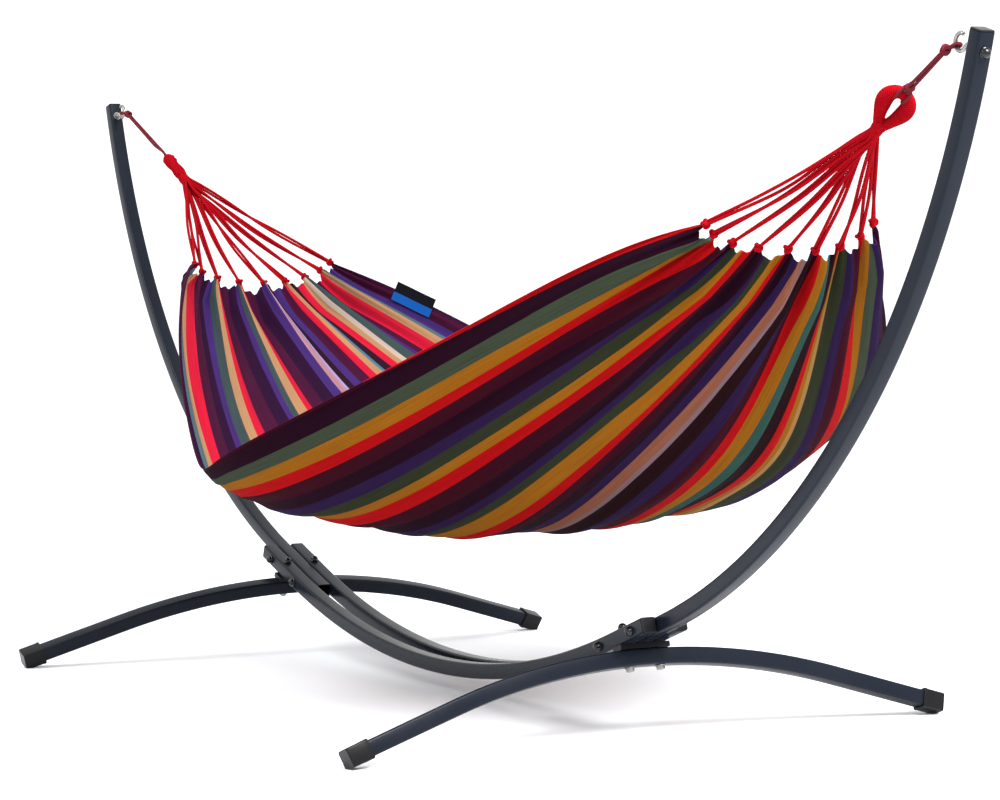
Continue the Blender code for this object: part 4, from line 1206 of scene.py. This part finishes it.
def string_runs(name, number, chance):
    """The two cords of one string, its end and its direction there."""
    column = (number - 1) // 3 - 1
    layer = (number - 1) % 3 - 1
    lift = ACROSS.cross(FALL[name]) * SIDE[name]
    neck_end = EYE[name] + (EYE_STRETCH * EYE_RADIUS + NECK_LENGTH) * FALL[name]
    offset = STRING_PITCH * (column * ACROSS + layer * lift * (-1 if column < 0 else 1))
    end = string_end(name, number)
    leave = 0.004 + STRING_LEAVE[name] * (1 - abs(number - 5) / 4)
    first = neck_end + leave * FALL[name] + 0.62 * offset
    start = neck_end - 0.018 * FALL[name] + 0.5 * offset
    direction = (end - first).normalized()
    sag = Vector((0.0, 0.0, -0.004 - 0.006 * chance.random()))
    middle = first.lerp(end, 0.5) + sag + 0.004 * (chance.random() - 0.5) * ACROSS
    centre = smooth_path([start, first, first.lerp(end, 0.07), middle, end - 0.003 * direction], CORD_STEP)
    pitch = 0.50 + 0.60 * chance.random()
    phase = math.tau * chance.random()
    opening = max(0.0, 3.0 * chance.random() - 1.4)
    runs = ([], [])
    for index, (point, _, side, other) in enumerate(path_frames(centre)):
        spread = CORD_RADIUS * (0.98 + opening * math.sin(math.pi * index / (len(centre) - 1)) ** 4)
        for half, run in enumerate(runs):
            angle = phase + math.pi * half + math.tau * CORD_STEP * index / pitch
            run.append(point + spread * turned(angle, side, other))
    return runs, end, direction


def cotton(along, angle):
    """The relief of a three-strand cotton cord."""
    return CORD_RADIUS - 0.00025 + 0.0005 * abs(math.sin(520.0 * along + 1.5 * angle))


def knot_mesh():
    """A small overhand knot about Z with two short tails."""
    points = []
    for step in range(49):
        turn = math.tau * step / 48
        points.append(0.0017 * Vector((
            math.sin(turn) + 2 * math.sin(2 * turn),
            math.cos(turn) - 2 * math.cos(2 * turn),
            -1.5 * math.sin(3 * turn),
        )))
    tail = points[0]
    points = [tail + Vector((0.0035, 0.0030, -0.0030)), *points[1:-1], tail + Vector((-0.0035, 0.0030, 0.0030))]
    return bar_mesh("knot_part", [(smooth_path(points, 0.0014), cotton)], 8)


def make_strings(name, chance):
    """The nine strings of one end and their knots."""
    places = []
    for number in range(1, 10):
        runs, end, direction = string_runs(name, number, chance)
        label = f"{name}_string_{number}"
        mesh = bar_mesh(f"{label}_cords", [(run, cotton) for run in runs], 8)
        new_piece(mesh, RED_COTTON, "hammock", [label])
        roll = Vector((chance.uniform(-1, 1), chance.uniform(-1, 1), chance.uniform(-1, 1)))
        places.append((end - 0.002 * direction, direction, roll))
    mesh = copies_on_points(f"{name}_knots", knot_mesh(), places, RED_COTTON, KNOT_SIZE)
    new_piece(mesh, RED_COTTON, "hammock")


string_chance = random.Random(41)
for end_name in SIDE:
    make_strings(end_name, string_chance)
print("strings: 18, knots: 18")

# %% [markdown]
# Far more cloth arrives at each end than the strings leave room for, so it gathers at every knot and swings
# out between them, and the folds run from there into the bed and die away.  The cloth's edge hangs back a
# little between knots.  The folds are made by moving the bed's surface along its own normal.

# %% Cloth
CLOTH_COLUMNS = 176
CLOTH_ROWS = 220
CLOTH_THICKNESS = 0.0014
PLEATED_EDGES = (-0.772, -0.458, -0.178)
GATHER = (0.62, 0.05)
SCALLOP = (0.004, 0.011, 0.07)
FOLD_DEPTH = (0.029, 0.012, 0.26)
FAINT_FOLD = (0.0040, 0.60)
SMALL_PLEAT = (0.0040, 0.07)
DRAPE = 0.0095
CREASE = 0.0042
ROWS_CROWD = math.radians(81.0)


def hung_normal(u, v):
    """The hanging cloth's upward normal."""
    step = 0.004
    along = hung_point(min(1.0, u + step), v) - hung_point(max(-1.0, u - step), v)
    across = hung_point(u, min(1.0, v + step)) - hung_point(u, max(-1.0, v - step))
    return along.cross(across).normalized()


def wander(x, y, z):
    """Smooth chance between -1 and 1."""
    return noise.noise(Vector((x, y, z)))


def cloth_point(u, v):
    """A point of the hanging cloth with its folds."""
    near_end = (1 - abs(u)) * BED_LENGTH / 2
    phase = (v / LAST_STRING + 1) / 2 * SPANS
    swing = math.sin(math.pi * phase) ** 2
    # The cloth crowds towards the knots, and its edge hangs back between them.
    gather = GATHER[0] * math.exp(-near_end / GATHER[1])
    shift = gather * LAST_STRING * 2 / SPANS / math.tau * math.sin(math.tau * phase)
    off_rim = min(1.0, max(0.0, (1.0 - abs(v)) / 0.03))
    uneven = 0.5 + 0.5 * wander(9.0 * u, 1.9 * math.floor(phase) + 0.4, 3.3)
    dip = min(1.0, max(0.0, (swing - 0.30) / 0.55)) ** 1.5
    back = (SCALLOP[0] + SCALLOP[1] * uneven) * dip * math.exp(-near_end / SCALLOP[2]) * off_rim
    place_u = u * (1 - 2 * back / BED_LENGTH)
    place_v = max(-1.0, min(1.0, v - shift))
    # One deep fold between each two knots, small pleats at the very end, and broad soft waves everywhere.
    depth = FOLD_DEPTH[0] + FOLD_DEPTH[1] * wander(3.1 * u, 4.0 * math.floor(phase) + 7.7, 1.3)
    depth *= (0.15 + 0.85 * min(1.0, near_end / 0.08) ** 0.8) * math.exp(-near_end / FOLD_DEPTH[2])
    depth += FAINT_FOLD[0] * math.exp(-near_end / FAINT_FOLD[1])
    sway = 0.9 * wander(2.5 * u, 2.0 * v, 4.0)
    pleat = SMALL_PLEAT[0] * math.sin(math.tau * (4 * phase + sway)) * math.exp(-near_end / SMALL_PLEAT[1])
    waves = DRAPE * wander(1.6 * u + 5.0, 9.0 * v, 0.7) + CREASE * wander(2.4 * u, 26.0 * v, 8.3)
    fold = pleat + waves - depth * swing ** 0.8
    return hung_point(place_u, place_v) + fold * hung_normal(place_u, place_v)


def stripe_place(u, v):
    """Which stripe lies here: the middle has slipped at the right end, and pleats hide some ochre."""
    slip = max(0.0, (u - 0.45) / 0.55) ** 2
    from_rim = min(1.0, (v + 1.0) / 0.4) * min(1.0, (1.0 - v) / 0.9)
    hidden = sum(near_to(v, edge, 0.05) for edge in PLEATED_EDGES)
    return v - 0.11 * slip * from_rim - (0.045 * (u + 0.3) - 0.022) * hidden


def write_map(shape, name, places):
    """A UV map from a place for each vertex."""
    layer = shape.loops.layers.uv.new(name)
    for face in shape.faces:
        for loop in face.loops:
            loop[layer].uv = places[loop.vert]


def make_cloth():
    """The striped cloth as one thin solid with a map of metres along and shares across."""
    shape = bmesh.new()
    places = {}
    rows = []
    for row in range(CLOTH_ROWS + 1):
        u = math.sin(ROWS_CROWD * (2 * row / CLOTH_ROWS - 1)) / math.sin(ROWS_CROWD)
        rows.append([])
        for column in range(CLOTH_COLUMNS + 1):
            v = 2 * column / CLOTH_COLUMNS - 1
            rows[-1].append(shape.verts.new(cloth_point(u, v)))
            places[rows[-1][-1]] = ((u + 1) / 2 * CLOTH_FLAT[1], stripe_place(u, v))
    for low, high in zip(rows, rows[1:]):
        for index in range(CLOTH_COLUMNS):
            shape.faces.new((low[index], high[index], high[index + 1], low[index + 1]))
    write_map(shape, "along_and_across", places)
    mesh = bpy.data.meshes.new("cloth_sheet")
    shape.to_mesh(mesh)
    shape.free()
    mesh.shade_smooth()
    # The first material is the inner-face copy with painted light; the solidify gives the other face the plain
    # cloth.
    mesh.materials.append(CLOTH_INSIDE)
    mesh.materials.append(CLOTH)
    sheet = add_object("cloth_sheet", mesh)
    thick = sheet.modifiers.new("thickness", "SOLIDIFY")
    thick.thickness = CLOTH_THICKNESS
    thick.offset = 0.0
    thick.material_offset = 1
    solid = bpy.data.meshes.new_from_object(sheet.evaluated_get(bpy.context.evaluated_depsgraph_get()))
    bpy.data.objects.remove(sheet, do_unlink=True)
    solid.name = "hammock_cloth"
    return new_piece(solid, CLOTH, "hammock", ["hammock_bed"])


cloth = make_cloth()
print("cloth faces:", len(cloth.data.polygons))

# %% [markdown]
# A small woven tag is sewn to the far rim near its left end.  It carries two plain bands of colour and no
# writing.

# %% Tag
TAG_PLACE = -0.812
TAG_LENGTH = 0.102
TAG_BELOW = 0.021
TAG_ABOVE = 0.018
TAG_THICKNESS = 0.0008
BLUE_BAND = (0.004, 0.070, 0.300)
DARK_BAND = (0.003, 0.003, 0.006)


def tag_finish():
    """Two plain bands, split by the tag's own map."""
    material, tree, shader = new_material("two_tone_tag", DARK_BAND, 0.55, 0.0, 0.05)
    _, _, y = read_map(tree, "along_and_up")
    bands = mix_colours(tree, add_math(tree, "GREATER_THAN", y, 0.45), BLUE_BAND, DARK_BAND)
    tree.links.new(bands, shader.inputs["Base Color"])
    add_bump(tree, shader, add_math(tree, "SINE", add_math(tree, "MULTIPLY", y, 260.0)), 0.3, 0.0003)
    return material


def make_tag():
    """A thin, slightly curled strip that stands up from the far rim."""
    middle = cloth_point(TAG_PLACE, 1.0)
    along = (cloth_point(TAG_PLACE + 0.03, 1.0) - cloth_point(TAG_PLACE - 0.03, 1.0)).normalized()
    inward = along.cross(UP).normalized()
    upward = inward.cross(along)
    columns, rows = 16, 8
    shape = bmesh.new()
    places = {}
    rings = []
    front = [(row / rows, -0.5) for row in range(rows + 1)]
    for column in range(columns + 1):
        x = column / columns - 0.5
        rings.append([])
        for y, face_side in front + [(y, 0.5) for y, _ in front[::-1]]:
            curl = 0.0110 - 0.0060 * y + 0.0012 * math.sin(5.0 * x)
            place = middle + x * TAG_LENGTH * along + (curl + face_side * TAG_THICKNESS) * inward
            place += ((TAG_BELOW + TAG_ABOVE) * y - TAG_BELOW) * upward
            rings[-1].append(shape.verts.new(place))
            places[rings[-1][-1]] = (x + 0.5, y)
    bridge(shape, rings)
    write_map(shape, "along_and_up", places)
    return new_piece(finish_mesh("rim_tag", shape, 40.0), tag_finish(), "hammock")


tag = make_tag()
print("tag:", tag.name)

# %% [markdown]
# Last, the view layer is brought up to date.

# %% Update
bpy.context.view_layer.update()
